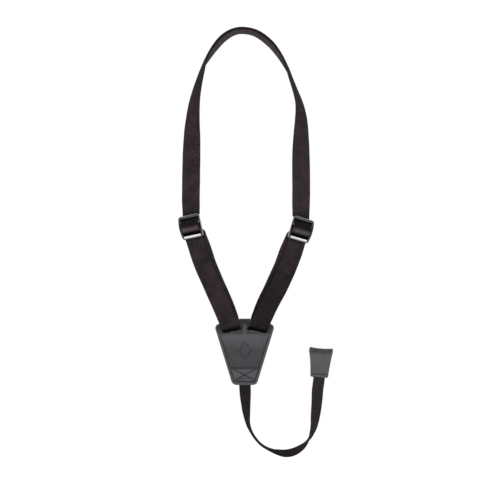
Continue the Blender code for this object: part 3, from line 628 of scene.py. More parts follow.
def build_slide(side):
    """The slide's frame, one bar swept round a rectangle: squarish top and bottom bars that thin
    into arms arched towards the front."""
    path = slide_path()
    around = 20
    points, faces = [], []
    for x, z, angle in path:
        level = abs(math.sin(angle))  # 1 on the bars, 0 on the arms
        # the lower bar is the heavier, and the outer arm swells at its middle
        bar_half = SLIDE_BAR / 2 + (0.42 if z < 0 else 0.0)
        z -= 0.5 * level if z < 0 else 0.0
        bulge = max(0.0, 1 - (z / SLIDE_PITCH) ** 2)
        swell = 0.6 * bulge * (1 - level) if x * side.inward < 0 else 0.0
        x -= side.inward * swell
        arch = bulge**1.5 * (1 - level)
        half_wide = ARM_HALF + (bar_half - ARM_HALF) * level**1.5 + swell
        half_deep = SECTION_HALF_DEPTH + 0.7 * arch
        lift = 0.2 * arch
        # the bars' sections are tipped, the lower one more
        tip = math.radians(19.0 if z < 0 else 5.0) * level**2
        for k in range(around):
            turn = 2 * math.pi * k / around
            wide = squared(math.cos(turn)) * half_wide
            deep = squared(math.sin(turn)) * half_deep
            outer = wide * math.cos(tip) - deep * math.sin(tip)
            deep = wide * math.sin(tip) + deep * math.cos(tip)
            points.append(
                side.middle + side.across * (x + outer * math.cos(angle))
                + side.up * (z + outer * math.sin(angle)) + side.out * (deep + lift)
            )
    for i in range(len(path)):
        base, following = around * i, around * ((i + 1) % len(path))
        for k in range(around):
            beside = (k + 1) % around
            faces.append((base + k, base + beside, following + beside, following + k))
    obj = made(f"{side.name}_slider_frame_plated", points, faces, PLATED)
    # painted shade: the arms' colour is darkened, standing in for the dark surroundings they mirror,
    # but not near the lower bar
    dull = [0.75 * (1 - math.sin(angle) ** 2) * fade(z, -9.5, -6.5) for _, z, angle in path]
    marks(obj, deep=np.repeat(dull, around))
    ride(obj, f"{side.name}_slider", "slide_metal", f"{side.name}_slider_frame")


def over_bar(side):
    """The webbing through the slide, over its middle bar and under the frame."""
    foot = SLIDE_PITCH - SLIDE_BAR / 2 - 0.1
    rows = []
    for height in np.linspace(-SLIDE_PITCH, SLIDE_PITCH, 49):
        level = UNDER_BAR + (OVER_ROD - UNDER_BAR) * ease(abs(height), foot, 1.6)
        aside = side.enter * fade(height, 9.7, SLIDE_PITCH) + 0.15 * side.inward * min(0.0, level)
        place = side.middle + side.up * height + side.out * level + side.across * aside
        rows.append([*place, *side.across])
    obj = strap(
        f"{side.name}_webbing_over_middle_bar", rows, start=300.0, step=0.8, loose=0.03,
        fray=0.08, width=NECK_WIDTH + 0.7,
    )
    # painted highlight where it rides over the bar, and painted shade over its upper half and where
    # it dips under the frame
    offsets = spots(obj) - side.middle
    across, height = offsets @ side.across, offsets @ side.up
    marks(
        obj,
        pale=0.88 * ridge(height + 3.3, 2.1) * fade(np.abs(across), 11.0, 8.4),
        deep=np.maximum(0.72 * fade(height, -1.6, 2.0), fade(height, -5.4, -6.9)),
    )
    ride(obj, f"{side.name}_slider", "webbing", f"{side.name}_webbing_over_bar")


def smooth_profile(profile):
    return list(smooth([(*point, 0.0) for point in profile], 6)[:, :2])


def sewn_end(side):
    """The webbing's end, round the middle bar, and two rows of stitches behind it."""
    radius = AROUND_ROD
    rise = smooth_profile([
        (BACK_START, BACK_LEVEL), (-15.0, BACK_LEVEL), (-9.0, BACK_LEVEL + 0.15),
        (-5.0, BACK_LEVEL + 1.6), (-1.9, -radius * 1.18),
    ])
    turn = []
    for angle in np.radians(range(0, 196, 12)):
        turn.append((radius * math.sin(angle), -radius * math.cos(angle)))
    fall = smooth_profile([
        turn[-1], (-2.5, 0.9), (-4.2, -1.9), (-6.6, -3.6), (-10.0, END_LEVEL),
        (-15.0, END_LEVEL), (TONGUE_END, END_LEVEL),
    ])
    rows = leaning_rows(side, rise, back=True) + leaning_rows(side, turn + fall[1:])
    name = f"{side.name}_webbing_end_round_bar"
    obj = strap(name, rows, start=500.0, step=0.8, loose=0.0, fray=0.1)
    ride(obj, f"{side.name}_slider", "webbing", f"{side.name}_webbing_sewn_end")
    lines = []
    surface = BACK_LEVEL - NECK_THICK / 2 - 0.03
    half_row = 8.4
    for row in leaning_rows(side, [(-14.5, surface), (-19.5, surface)], back=True):
        place, width = np.array(row[:3]), np.array(row[3:])
        lines.append((place - width * half_row, place + width * half_row, -side.out))
    obj = stitches(f"{side.name}_end_stitches", lines, length=1.7, pitch=2.4, radius=0.32)
    ride(obj, f"{side.name}_slider", "thread")


for side in SIDES:
    build_slide(side)
    over_bar(side)
    sewn_end(side)

# ------------------------------------------------------------------ neck loop
# x, z and twist in degrees, from the left slide over the crown to the right slide
LOOP = [
    (-60.1, 168.6, 8), (-60.0, 185.9, 6), (-59.7, 209.4, 8), (-59.1, 231.8, 16),
    (-58.2, 259.8, 39), (-55.3, 286.7, 58), (-48.5, 313.6, 77), (-42.8, 327.0, 93),
    (-34.3, 341.0, 104), (-23.4, 353.2, 107), (-13.1, 359.2, 105), (-6.3, 360.9, 104),
    (0.7, 360.9, 104), (10.6, 358.8, 104), (27.8, 347.5, 106), (39.0, 333.8, 101),
    (46.4, 320.3, 92), (52.0, 306.9, 82), (57.1, 293.4, 74), (61.2, 280.0, 66),
    (63.3, 259.8, 47), (63.3, 246.4, 35), (63.1, 233.0, 23), (63.2, 212.8, 10),
    (63.3, 185.9, 6), (63.2, 168.6, 8),
]
LOOP_CUP = 2.8


def slide_top_row(side, rise):
    """The loop's row at the slide's top, or a rise above it."""
    first = (
        side.middle + side.up * SLIDE_PITCH + side.out * UNDER_BAR + side.across * side.enter
    )
    return [*(first + UPWARDS * rise), *(side.across * -side.inward)]


def neck_loop():
    """The loop, in two halves that each run from the crown down to a slide."""
    rows = [slide_top_row(LEFT, 0.0), slide_top_row(LEFT, 2.2)]
    rows += twisted(LOOP, 1.0)
    rows += [slide_top_row(RIGHT, 2.2), slide_top_row(RIGHT, 0.0)]
    curve = smooth(rows, 16)
    crown = int(np.argmax(curve[:, 2]))
    # the left half runs a row past the crown
    halves = (curve[: crown + 2][::-1], curve[crown:])
    for side, half in zip(SIDES, halves):
        # the webbing cups where it turns edge-on and over the crown
        obj = strap(
            f"{side.name}_neck_loop", half, seed=2.0,
            cup=lambda place: -side.inward * LOOP_CUP * fade(place[2], 268.0, 313.0),
        )
        top = side.middle + side.up * (SLIDE_PITCH + 1.6)
        # painted light at the back and painted shade at the front over the crown, and painted shade
        # as it nears the slide; loop_pale adds painted light all along
        _, y, z = (spots(obj) - SHIFT).T
        over = fade(z, 316.0, 330.0)
        slide_shade = 0.62 * fade(z, top[2] + 8.5, top[2] + 1.5)
        marks(
            obj,
            pale=np.maximum(0.66 * over * fade(y, -0.5, 2.5), side.loop_pale),
            deep=np.maximum(slide_shade, 0.55 * over * fade(y, 1.5, -1.5)),
        )
        nodes = ["neck_webbing"] if side is LEFT else []
        start = (top[0], 0.0, curve[crown, 2] - 26.0)
        blend(obj, "neck_strap", f"{side.name}_slider", start, (top[0], 0.0, top[2]), *nodes)


neck_loop()

# ------------------------------------------------------------------ doubled webbing and slot turns
TURN_LEVEL = FACE_OUT + 0.6 + NECK_THICK / 2
TURN_RADIUS, TURN_LOW = 2.9, 1.9
SLOT_X, SLOT_Z, SLOT_TILT = 14.4, 24.3, 13.0
SLOT_LENGTH, SLOT_HEIGHT, SLOT_CORNER = 21.1, 3.8, 0.7
# heights between which the fold passes to the yoke, and where its webbing is divided
FOLD_LOW, FOLD_HIGH, SEAM_AT = 38.6, 49.4, 54.0
# degrees the doubled webbing is turned towards the front at each of its stations
STATION_YAW = (9.0, 6.0, 2.0)


def strap_frame(side):
    """The doubled webbing's upward and width directions."""
    lean = math.radians(side.lean)
    up = np.array([-math.sin(lean), 0.0, math.cos(lean)])
    return up, np.array([math.cos(lean), 0.0, math.sin(lean)])


def slot_frame(side):
    """A yoke slot's middle, and its directions along and up."""
    tilt = math.radians(side.inward * SLOT_TILT)
    along = np.array([math.cos(tilt), 0.0, math.sin(tilt)])
    up = np.array([-math.sin(tilt), 0.0, math.cos(tilt)])
    return np.array([-side.inward * SLOT_X, 0.0, SLOT_Z]), along, up


def turn_rows(side):
    """The webbing's fold through a slot, from front to back."""
    middle, along, _ = slot_frame(side)
    up, broad = strap_frame(side)
    profile = [(12.2, TURN_LEVEL), (8.0, TURN_LEVEL), (5.0, TURN_LEVEL)]
    for k in range(11):
        angle = math.radians(9 * k)
        level = TURN_LEVEL - TURN_RADIUS + TURN_RADIUS * math.cos(angle)
        profile.append((TURN_LOW - TURN_RADIUS * math.sin(angle), level))
    profile += [(height, -level) for height, level in profile[::-1]]
    rows = []
    for height, level in profile:
        share = fade(height, 2.2, 10.7)
        aside = side.inward * (0.1 + (2.6 * share if level < 0 else 0.0))
        place = middle + up * height + TOWARDS * level + broad * aside
        rows.append([*place, *unit(along * (1 - share) + broad * share)])
    return rows


def doubled_webbing(side):
    """The front and back webbing from the slide, and the fold that joins them at the yoke."""
    up, broad = strap_frame(side)
    turn = turn_rows(side)
    front_top = [(height, UNDER_BAR) for height in (-SLIDE_PITCH, -15.0, -19.0, -24.0)]
    back_top = [(BACK_START, BACK_LEVEL), (BACK_START - 3.0, BACK_LEVEL)]
    # each ply's first profile, stations, last row, seed, and how far down its blend starts
    plies = {
        "front": (front_top, side.front, turn[0], 3.0, 1.6),
        "back": (back_top, side.back, turn[-1], 5.0, 0.5),
    }
    lower = {}
    for ply, (profile, stations, last, seed, lowered) in plies.items():
        rows = leaning_rows(side, profile, ply == "back")
        for (x, z, y), degrees in zip(stations, STATION_YAW):
            yaw = math.radians(degrees) * side.inward
            rows.append([x, y, z, *(broad * math.cos(yaw) + TOWARDS * math.sin(yaw))])
        path = smooth(rows + [last], 14)
        cut = int(np.argmin(abs(path[:, 2] - SEAM_AT)))
        name = f"{side.name}_doubled_webbing_{ply}"
        obj = strap(name, path[: cut + 1], start=40.0, seed=seed)
        # painted shade, darker towards the bottom, as much as the side's shade
        marks(obj, deep=side.shade * fade(spots(obj)[:, 2], 108.0, 62.0))
        blend(
            obj, f"{side.name}_slider", "neck_strap", path[0, :3] - up * lowered, path[cut, :3],
            f"{side.name}_lower_webbing_{ply}",
        )
        lower[ply] = path[cut:]
    rows = np.vstack([lower["front"], np.array(turn[1:-1]), lower["back"][::-1]])
    name = f"{side.name}_webbing_through_slot"
    obj = strap(name, rows, step=0.9, seed=3.0, loose=0.04, fray=0.12)
    # painted shade where it folds into the slot, and the side's painted shade all along
    slot, _, slot_up = slot_frame(side)
    marks(obj, deep=np.maximum(fade((spots(obj) - slot) @ slot_up, 5.3, 2.1), side.shade))
    blend(
        obj, "neck_strap", "yoke", (0.0, 0.0, FOLD_HIGH), (0.0, 0.0, FOLD_LOW),
        f"{side.name}_webbing_slot_turn",
    )


for side in SIDES:
    doubled_webbing(side)

# ------------------------------------------------------------------ yoke
YOKE_TOP, YOKE_BOTTOM, YOKE_FOOT = 37.4, -36.8, 13.5
SHOULDER_X, SHOULDER_Z = 34.1, 30.3


def rounded(corners, steps=8):
    """An outline from corners of (x, z, radius)."""
    outline = []
    for i, (x, z, radius) in enumerate(corners):
        corner = np.array((x, z))
        back = unit(np.array(corners[i - 1][:2]) - corner)
        onward = unit(np.array(corners[(i + 1) % len(corners)][:2]) - corner)
        half = math.acos(back @ onward) / 2
        reach = radius / math.tan(half)
        middle = corner + unit(back + onward) * radius / math.sin(half)
        start, end = corner + back * reach - middle, corner + onward * reach - middle
        turn = math.atan2(start[0] * end[1] - start[1] * end[0], start @ end)
        side = np.array([-start[1], start[0]])
        for k in range(steps + 1):
            angle = turn * k / steps
            outline.append(middle + start * math.cos(angle) + side * math.sin(angle))
    return np.array(outline)


OUTLINE = rounded([
    (-5.2, YOKE_TOP, 8.0), (-SHOULDER_X, SHOULDER_Z, 4.8), (-YOKE_FOOT, YOKE_BOTTOM, 5.8),
    (YOKE_FOOT, YOKE_BOTTOM, 5.8), (SHOULDER_X, SHOULDER_Z, 4.8), (5.2, YOKE_TOP, 8.0),
])


def to_path(x, z, path, closed=False):
    """Distance from each point to a path."""
    points = np.stack([x, z], -1)
    best = np.full(x.shape, 1e9)
    starts = path if closed else path[:-1]
    for start, end in zip(starts, np.roll(path, -1, axis=0)):
        run = end - start
        share = clamp(((points - start) @ run) / max(1e-9, float(run @ run)))
        gap = np.linalg.norm(points - start - share[..., None] * run, axis=-1)
        best = np.minimum(best, gap)
    return best


def inside(x, z, path):
    hit = np.zeros(x.shape, bool)
    for start, end in zip(path, np.roll(path, -1, axis=0)):
        if start[1] == end[1]:
            continue
        crosses = (start[1] > z) != (end[1] > z)
        slope = (end[0] - start[0]) / (end[1] - start[1])
        hit ^= crosses & (x < slope * (z - start[1]) + start[0])
    return hit


def slot_gap(x, z, length=SLOT_LENGTH):
    """How far outside the nearer slot each point is; negative inside it."""
    gaps = []
    for side in SIDES:
        middle, along, up = slot_frame(side)
        from_x, from_z = x - middle[0], z - middle[2]
        across = np.abs(from_x * along[0] + from_z * along[2]) - length / 2 + SLOT_CORNER
        rise = np.abs(from_x * up[0] + from_z * up[2]) - SLOT_HEIGHT / 2 + SLOT_CORNER
        outside = np.hypot(np.maximum(across, 0), np.maximum(rise, 0))
        gaps.append(outside + np.minimum(np.maximum(across, rise), 0) - SLOT_CORNER)
    return np.minimum(*gaps)


def half_width(z):
    """Half the yoke's width between its foot and its shoulders."""
    return YOKE_FOOT + (SHOULDER_X - YOKE_FOOT) * (z - YOKE_BOTTOM) / (SHOULDER_Z - YOKE_BOTTOM)


INSET, SEAM_TOP, BOX_TOP, SEAM_LOW = 3.3, 17.5, -17.9, -32.5
BORDER_TOP, BORDER_LOW = half_width(SEAM_TOP) - INSET, half_width(SEAM_LOW) - INSET
BORDER = np.array([
    (-BORDER_TOP, SEAM_TOP), (-BORDER_LOW, SEAM_LOW), (BORDER_LOW, SEAM_LOW),
    (BORDER_TOP, SEAM_TOP),
])
CROSS_TOP, CROSS_LOW, CROSS_FOOT = half_width(BOX_TOP) - INSET - 2.0, BORDER_LOW - 2.0, SEAM_LOW + 1.7
CROSS = [
    np.array([(-CROSS_TOP, BOX_TOP), (CROSS_TOP, BOX_TOP)]),
    np.array([(-CROSS_TOP, BOX_TOP), (CROSS_LOW, CROSS_FOOT)]),
    np.array([(CROSS_TOP, BOX_TOP), (-CROSS_LOW, CROSS_FOOT)]),
]
MARK_X, MARK_Z, MARK_HALF_WIDTH, MARK_HALF_HEIGHT = 0.5, 1.6, 6.9, 9.4
LOZENGE = np.array([
    (MARK_X, MARK_Z + MARK_HALF_HEIGHT), (MARK_X + MARK_HALF_WIDTH, MARK_Z),
    (MARK_X, MARK_Z - MARK_HALF_HEIGHT), (MARK_X - MARK_HALF_WIDTH, MARK_Z),
])
# how far the sewn border is drawn down, and the rounding of the leathers' edges
DRAWN_DOWN, EDGE_RADIUS = 0.85, 0.95


def relief(x, z, front):
    """Height of a leather's outer face: full in the middle, drawn down at the sewn border, pulled
    in along each seam, rounded at its edges and slots, and on the front pressed with a lozenge."""
    rim = to_path(x, z, OUTLINE, closed=True)
    height = FACE_OUT - DRAWN_DOWN + DRAWN_DOWN * ease(rim, 1.6, 5.6)
    height -= 0.42 * ridge(to_path(x, z, BORDER), 0.75)
    for line in CROSS:
        height -= 0.30 * ridge(to_path(x, z, line), 0.7)
    if front:
        height -= 0.36 * ridge(to_path(x, z, LOZENGE, closed=True), 0.62, power=4)
        # a small solid lozenge in the middle
        height -= 0.30 * fade(np.abs(x - MARK_X) / 0.74 + np.abs(z - MARK_Z), 3.4, 2.8)
    # a bead along the rim, and the tail's end showing through between the leathers
    height += 0.14 * ridge(rim - 1.5, 0.7)
    height += 0.16 * fade(np.abs(x - 0.4), 6.4, 5.0) * fade(z, -17.0, -18.6)
    near = np.minimum(rim, np.maximum(slot_gap(x, z), 0.0))
    curl = fade(near, EDGE_RADIUS, 0.0)
    height -= EDGE_RADIUS * 0.85 * (1 - np.sqrt(1 - curl * curl))
    # a slow unevenness
    height += 0.07 * np.sin(x / 5.1 + 0.6) * np.sin(z / 6.7 + 1.1)
    return height


def cut_grid(front):
    """A fine grid cut to the yoke's outline and slots: its points, and its cells as rings."""
    step = 0.55
    x_lines, z_lines = np.arange(-35.0, 35.01, step), np.arange(-38.5, 39.51, step)
    x, z = np.meshgrid(x_lines, z_lines, indexing="ij")
    depth = np.where(inside(x, z, OUTLINE), 1.0, -1.0) * to_path(x, z, OUTLINE, closed=True)
    # the back leather's slots fit the webbing closely
    depth = np.minimum(depth, slot_gap(x, z, SLOT_LENGTH if front else NECK_WIDTH - 0.1))
    # a grid point almost on a cut is taken as on it
    depth[np.abs(depth) < 0.12 * step] = 0.0
    points, lookup = [], {}

    def spot(here, there):
        """A grid point, or the place between two where the leather is cut."""
        key = (min(here, there), max(here, there))
        if key not in lookup:
            lookup[key] = len(points)
            share = 0.0 if here == there else depth[here] / (depth[here] - depth[there])
            points.append(tuple(grid[here] + (grid[there] - grid[here]) * share for grid in (x, z)))
        return lookup[key]

    cells = []
    for i in range(len(x_lines) - 1):
        for j in range(len(z_lines) - 1):
            corners = [(i, j), (i + 1, j), (i + 1, j + 1), (i, j + 1)]
            if max(depth[corner] for corner in corners) <= 0:
                continue
            ring = []
            for here, there in zip(corners, corners[1:] + corners[:1]):
                if depth[here] >= 0:
                    ring.append(spot(here, here))
                if depth[here] * depth[there] < 0:
                    ring.append(spot(here, there))
            if len(ring) >= 3:
                cells.append(ring)
    return np.array(points), cells


def yoke_marks(x, z, front):
    """How dark and how pale each point of a leather's outer face is."""
    rim = to_path(x, z, OUTLINE, closed=True)
    # painted shade in the seams, at the slots and round the lozenge
    seams = np.min([to_path(x, z, line) for line in CROSS], axis=0)
    deep = np.maximum(0.55 * ridge(to_path(x, z, BORDER), 0.75), 0.90 * ridge(seams, 0.75))
    deep = np.maximum(deep, 0.97 * ridge(np.maximum(slot_gap(x, z), 0.0), 1.2))
    if front:
        deep = np.maximum(deep, 0.55 * ridge(to_path(x, z, LOZENGE, closed=True), 0.8))
    # shaded between and behind the straps, but for the bridge between the slots
    behind = 0.45 * fade(z, 29.5, 33.5) + 0.70 * fade(z, 18.5, 21.5) * fade(rim, 1.4, 2.2)
    bridge = ridge(x, 1.3) * fade(z, 14.0, 18.0) * fade(z, 33.0, 30.0)
    deep = np.maximum(deep, np.clip(behind, 0, 0.95) * (1 - bridge))
    # paler in the crossed box, partly painted light and partly the leather's own tone
    boxed = fade(z, BOX_TOP - 0.8, BOX_TOP - 1.6) * fade(z, SEAM_LOW, SEAM_LOW + 0.8)
    pale = 0.42 * boxed * fade(half_width(z) - INSET - np.abs(x), 0.0, 0.8)
    # painted highlight where the tail's end lifts the leather just above the lowest seam, and painted
    # shade in a line just above that
    lift_highlight = ridge(z - SEAM_LOW - 1.2, 0.75) * fade(x, -3.0, 0.0) * fade(x, 10.5, 8.5)
    pale = np.maximum(pale, lift_highlight)
    hollow = 0.8 * ridge(z - SEAM_LOW - 2.9, 0.6) * (np.abs(x) < 9.5)
    deep = np.maximum(deep * (1 - 0.8 * lift_highlight), hollow)
    # painted light below the slots, along the rim and on the bridge
    pale = np.maximum(pale, 0.45 * fade(z, 2.0, 16.0) * fade(z, 27.5, 24.5))
    pale = np.maximum(pale, 0.48 * fade(rim, 2.7, 1.7) * fade(z, 27.0, 23.0))
    return deep, np.maximum(pale, 0.50 * bridge)


def yoke_leather(name, front):
    """One of the yoke's two leathers."""
    spots_flat, cells = cut_grid(front)
    x, z = spots_flat.T
    count = len(x)
    sign = -1.0 if front else 1.0
    # the inner face opens away from the mid-plane inside the rim
    inner = 0.06 + 0.88 * ease(to_path(x, z, OUTLINE, closed=True), 0.6, 2.0)
    layers = (relief(x, z, front), inner)
    points = np.vstack([np.stack([x, sign * layer, z], 1) for layer in layers])
    faces = []
    for ring in cells:
        faces.append(tuple(ring))
        faces.append(tuple(count + k for k in reversed(ring)))
    # walls on the edges that belong to one cell only, in the order the cells meet them
    edges = dict.fromkeys(edge for ring in cells for edge in zip(ring, ring[1:] + ring[:1]))
    for start, end in edges:
        if (end, start) not in edges:
            faces.append((end, start, count + start, count + end))
    deep, pale = yoke_marks(x, z, front)
    obj = made(name, points, faces, LEATHER, sharp=55)
    # the inner faces get painted shade all over
    marks(
        obj,
        deep=np.concatenate([deep, np.full(count, 0.5)]),
        pale=np.concatenate([pale, np.zeros(count)]),
    )
    return obj


def seam_lines(paths, front, lift=0.18):
    """Lines of one stitch each, just above a leather's outer face."""
    sign = -1.0 if front else 1.0
    lines = []
    for path in paths:
        for start, end in zip(path[:-1], path[1:]):
            count = max(1, int(round(float(np.linalg.norm(end - start)) / STITCH_PITCH)))
            for k in range(count):
                first = start + (end - start) * k / count
                last = start + (end - start) * (k + 1) / count
                x, z = (first + last) / 2
                y = sign * (float(relief(np.array([x]), np.array([z]), front)[0]) + lift)
                lines.append(((first[0], y, first[1]), (last[0], y, last[1]), (0.0, sign, 0.0)))
    return lines


for face in ("front", "back"):
    obj = yoke_leather(f"yoke_leather_{face}", face == "front")
    ride(obj, "yoke", "leather", f"yoke_{face}_leather")
for seam, paths, length in (("border", [BORDER], 2.05), ("cross", CROSS, 1.95)):
    for face in ("front", "back"):
        lines = seam_lines(paths, face == "front")
        obj = stitches(f"yoke_{seam}_stitches_{face}", lines, length)
        ride(obj, "yoke", "thread", *([f"yoke_{seam}_stitching"] if face == "front" else []))

# ------------------------------------------------------------------ hook
HOOK_AT = np.array([83.4, 0.0, -28.3])
HOOK_LEAN = math.radians(4.5)
HOOK_HEIGHT, BEND_RADIUS, LIP, CORE, SKIN = 30.6, 4.4, 7.0, 1.2, 1.1
HOOK_ACROSS = np.array([math.cos(HOOK_LEAN), 0.0, -math.sin(HOOK_LEAN)])
HOOK_UP = np.array([math.sin(HOOK_LEAN), 0.0, math.cos(HOOK_LEAN)])
SKIN_OFFSET = CORE / 2 + 0.3 + SKIN / 2
HOOK_FACE = SKIN_OFFSET + SKIN / 2
# the height at which the bend starts
HOOK_CROWN = HOOK_HEIGHT - BEND_RADIUS
HOOK_SEAM, HOOK_EDGE = 3.6, 0.8


def hook_half(height):
    """Half the hook's width, which flares upward."""
    return 10.0 + 3.4 * max(0.0, height / HOOK_HEIGHT) ** 1.5


def hook_rows():
    """Rows up the hook, round its bend and down its lip: the part, the place in it (an angle in
    the bend), the distance run and half the width."""
    rows = []
    for k in range(27):
        height = HOOK_CROWN * k / 26.0
        rows.append(("rise", height, height, hook_half(height)))
    bend_half = hook_half(HOOK_HEIGHT - BEND_RADIUS * 0.4)
    for k in range(1, 19):
        angle = math.pi * k / 18.0
        rows.append(("bend", angle, HOOK_CROWN + BEND_RADIUS * angle, bend_half))
    for k in range(1, 9):
        drop = LIP * k / 8.0
        run = HOOK_CROWN + math.pi * BEND_RADIUS + drop
        rows.append(("lip", drop, run, hook_half(HOOK_CROWN - drop)))
    return rows


def hook_layer(name, offset, trim, outer):
    """One leather of the hook as a rounded-edged sheet, bent over its top, its crown dished. trim
    narrows it, and outer adds the creases of the outer face."""
    rows = hook_rows()
    columns = [-1 + 2 * k / 22 for k in range(23)]
    columns = [math.copysign(1 - (1 - abs(share)) ** 1.35, share) for share in columns]
    points, strip = [], []
    for face_sign in (1.0, -1.0):
        for part, place, run, wide in rows:
            to_end = rows[-1][2] - run
            wide -= trim
            # the corners at both ends are rounded
            for near, reach in ((run, 2.2), (to_end, 3.0)):
                if near < reach:
                    wide -= 0.55 * reach * (1 - math.sqrt(max(0.0, 1 - (1 - near / reach) ** 2)))
            end = max(0.0, 1 - min(run, to_end) / HOOK_EDGE)
            lift = fade(run, HOOK_CROWN - 6, HOOK_CROWN)
            for share in columns:
                across = share * wide
                edge = max(0.0, (abs(across) - (wide - HOOK_EDGE)) / HOOK_EDGE)
                round_off = min(1.0, math.hypot(edge, end))
                fullness = math.sqrt(max(0.0, 1 - round_off * round_off)) * 0.75 + 0.25
                level = offset + face_sign * SKIN / 2 * fullness
                if outer and face_sign > 0 and part != "lip":
                    # a crease just below the bend, a low swelling, and the seam's groove
                    level -= 0.22 * ridge(run - (HOOK_CROWN - 1.2), 0.7)
                    level += 0.12 * math.exp(-((run - 15.0) ** 2 + across**2) / 60.0)
                    level -= 0.22 * ridge(run - HOOK_SEAM, 0.7) * (abs(across) < 8.2)
                if part == "rise":
                    height, depth = place, level
                elif part == "bend":
                    height = HOOK_CROWN + (BEND_RADIUS + level) * math.sin(place)
                    depth = -BEND_RADIUS + (BEND_RADIUS + level) * math.cos(place)
                else:
                    height, depth = HOOK_CROWN - place, -2 * BEND_RADIUS - level
                height += 0.9 * (share * share - 0.45) * lift
                points.append(HOOK_AT + HOOK_ACROSS * across + HOOK_UP * height + TOWARDS * depth)
                strip.append((across + STRIP_MIDDLE, run))
    count = len(columns)
    size = len(rows) * count
    faces = []
    for base in range(0, size - count, count):
        for a in range(base, base + count - 1):
            faces.append((a, a + 1, a + count + 1, a + count))
            faces.append((size + a, size + a + count, size + a + count + 1, size + a + 1))
        for a in (base, base + count - 1):
            faces.append((a, a + count, size + a + count, size + a))
    for base in (0, size - count):
        for a in range(base, base + count - 1):
            faces.append((a, a + 1, size + a + 1, size + a))
    # painted shade over the bend and along the seam
    across, along = np.array(strip).T
    bent = 0.74 * fade(along, HOOK_CROWN + 0.2, HOOK_CROWN + 1.0)
    sewn = 0.85 * ridge(along - HOOK_SEAM, 0.8) * (np.abs(across - STRIP_MIDDLE) < 8.4)
    obj = made(name, points, faces, HOOK_LEATHER, strip)
    return marks(obj, deep=np.maximum(bent, sewn), pale=np.zeros(len(along)))


def hook_stitches(name, level, out, *nodes):
    middle = HOOK_AT + HOOK_UP * HOOK_SEAM + TOWARDS * level
    line = (middle - HOOK_ACROSS * 7.6, middle + HOOK_ACROSS * 7.6, out)
    ride(stitches(name, [line], length=2.2, pitch=3.2, slant=5.0), "hook", "thread", *nodes)


obj = hook_layer("hook_leather_front", SKIN_OFFSET, trim=0.0, outer=True)
ride(obj, "hook", "leather", "hook_front_cover")
obj = hook_layer("hook_leather_lining", -SKIN_OFFSET, trim=0.25, outer=False)
ride(obj, "hook", "leather", "hook_inner_lining")
hook_stitches("hook_stitches_front", HOOK_FACE - 0.12, TOWARDS, "hook_stitching")
hook_stitches("hook_stitches_back", -HOOK_FACE + 0.02, -TOWARDS)

# ------------------------------------------------------------------ tail
# x, z and twist in degrees, from the yoke's foot to the hook
TAIL = [
    (0.5, -42.0, 5), (0.7, -47.0, 14), (1.2, -56.0, 34), (2.2, -69.4, 54), (3.2, -76.2, 66),
    (4.9, -82.9, 75), (7.7, -89.6, 82), (12.6, -97.4, 84), (18.9, -103.9, 83),
    (28.4, -109.1, 76), (38.0, -111.9, 58), (45.8, -113.0, 46), (50.8, -112.5, 43),
    (57.0, -110.4, 46), (64.0, -106.0, 58), (69.4, -100.8, 76), (72.4, -96.9, 90),
    (75.2, -89.6, 108), (77.3, -82.9, 121), (78.5, -76.2, 132), (79.5, -69.4, 142),
    (80.9, -56.0, 156), (81.7, -42.6, 170),
]
TAIL_STEP = 0.9
# the length to either side of each bend's middle at which blend() is given its ends
BEND_REACH = 17
LEFT_BEND, RIGHT_BEND = np.array([12.6, 0.0, -97.4]), np.array([72.4, 0.0, -96.9])
HOOK_FOLD = HOOK_AT - HOOK_UP * 2.9

rows = [[0.4, 0.0, z, -1.0, 0.0, 0.0] for z in (-17.0, -30.0, -38.7)]
rows += twisted(TAIL, -1.0)
rows += [[*(HOOK_AT + HOOK_UP * rise), *(-HOOK_ACROSS)] for rise in (-3.5, 2.0, 10.5)]
tail, tail_places = even(smooth(rows, 14), TAIL_STEP)


def nearest(place):
    return int(np.argmin(np.linalg.norm(tail[:, :3] - np.array(place), axis=1)))


def bend_ends(middle):
    k = nearest(middle)
    heading = unit((tail[k + 3, :3] - tail[k - 3, :3]) * np.array([1.0, 0.0, 1.0]))
    return middle - heading * BEND_REACH, middle + heading * BEND_REACH


# name, the bodies it joins, where it passes from one to the other, and the nodes it replaces
TAIL_PIECES = [
    ("tail_webbing_from_yoke", "yoke", "tail_upper", ((0.4, 0.0, -36.9), (0.9, 0.0, -50.0)),
     ["tail_webbing_yoke_end", "tail_webbing_upper"]),
    ("tail_webbing_first_bend", "tail_upper", "tail_bottom", bend_ends(LEFT_BEND),
     ["tail_webbing_bottom"]),
    ("tail_webbing_second_bend", "tail_bottom", "tail_riser", bend_ends(RIGHT_BEND),
     ["tail_webbing_riser"]),
    ("tail_webbing_to_hook", "tail_riser", "hook",
     (HOOK_FOLD - HOOK_UP * 11, HOOK_FOLD + HOOK_UP * 2.4), ["tail_webbing_hook_end"]),
]
CUTS = [nearest(place) for place in ((2.6, 0.0, -72.0), (45.8, 0.0, -113.0), (79.0, 0.0, -73.0))]
CUTS = [0, *CUTS, len(tail) - 1]
for (name, first, second, ends, nodes), cut, following in zip(TAIL_PIECES, CUTS, CUTS[1:]):
    obj = strap(
        name, tail[cut : following + 1], start=tail_places[cut], step=TAIL_STEP, seed=7.0,
        loose=0.08, fray=0.2, cup=lambda place: 1.4 * fade(place[2], -70.0, -86.0),
        width=TAIL_WIDTH, thick=TAIL_THICK, material=TAIL_WEB, columns=13,
    )
    marks(obj, pale=0.10 + 0.16 * fade(spots(obj)[:, 0], 58.0, 72.0))
    blend(obj, first, second, *ends, *nodes)

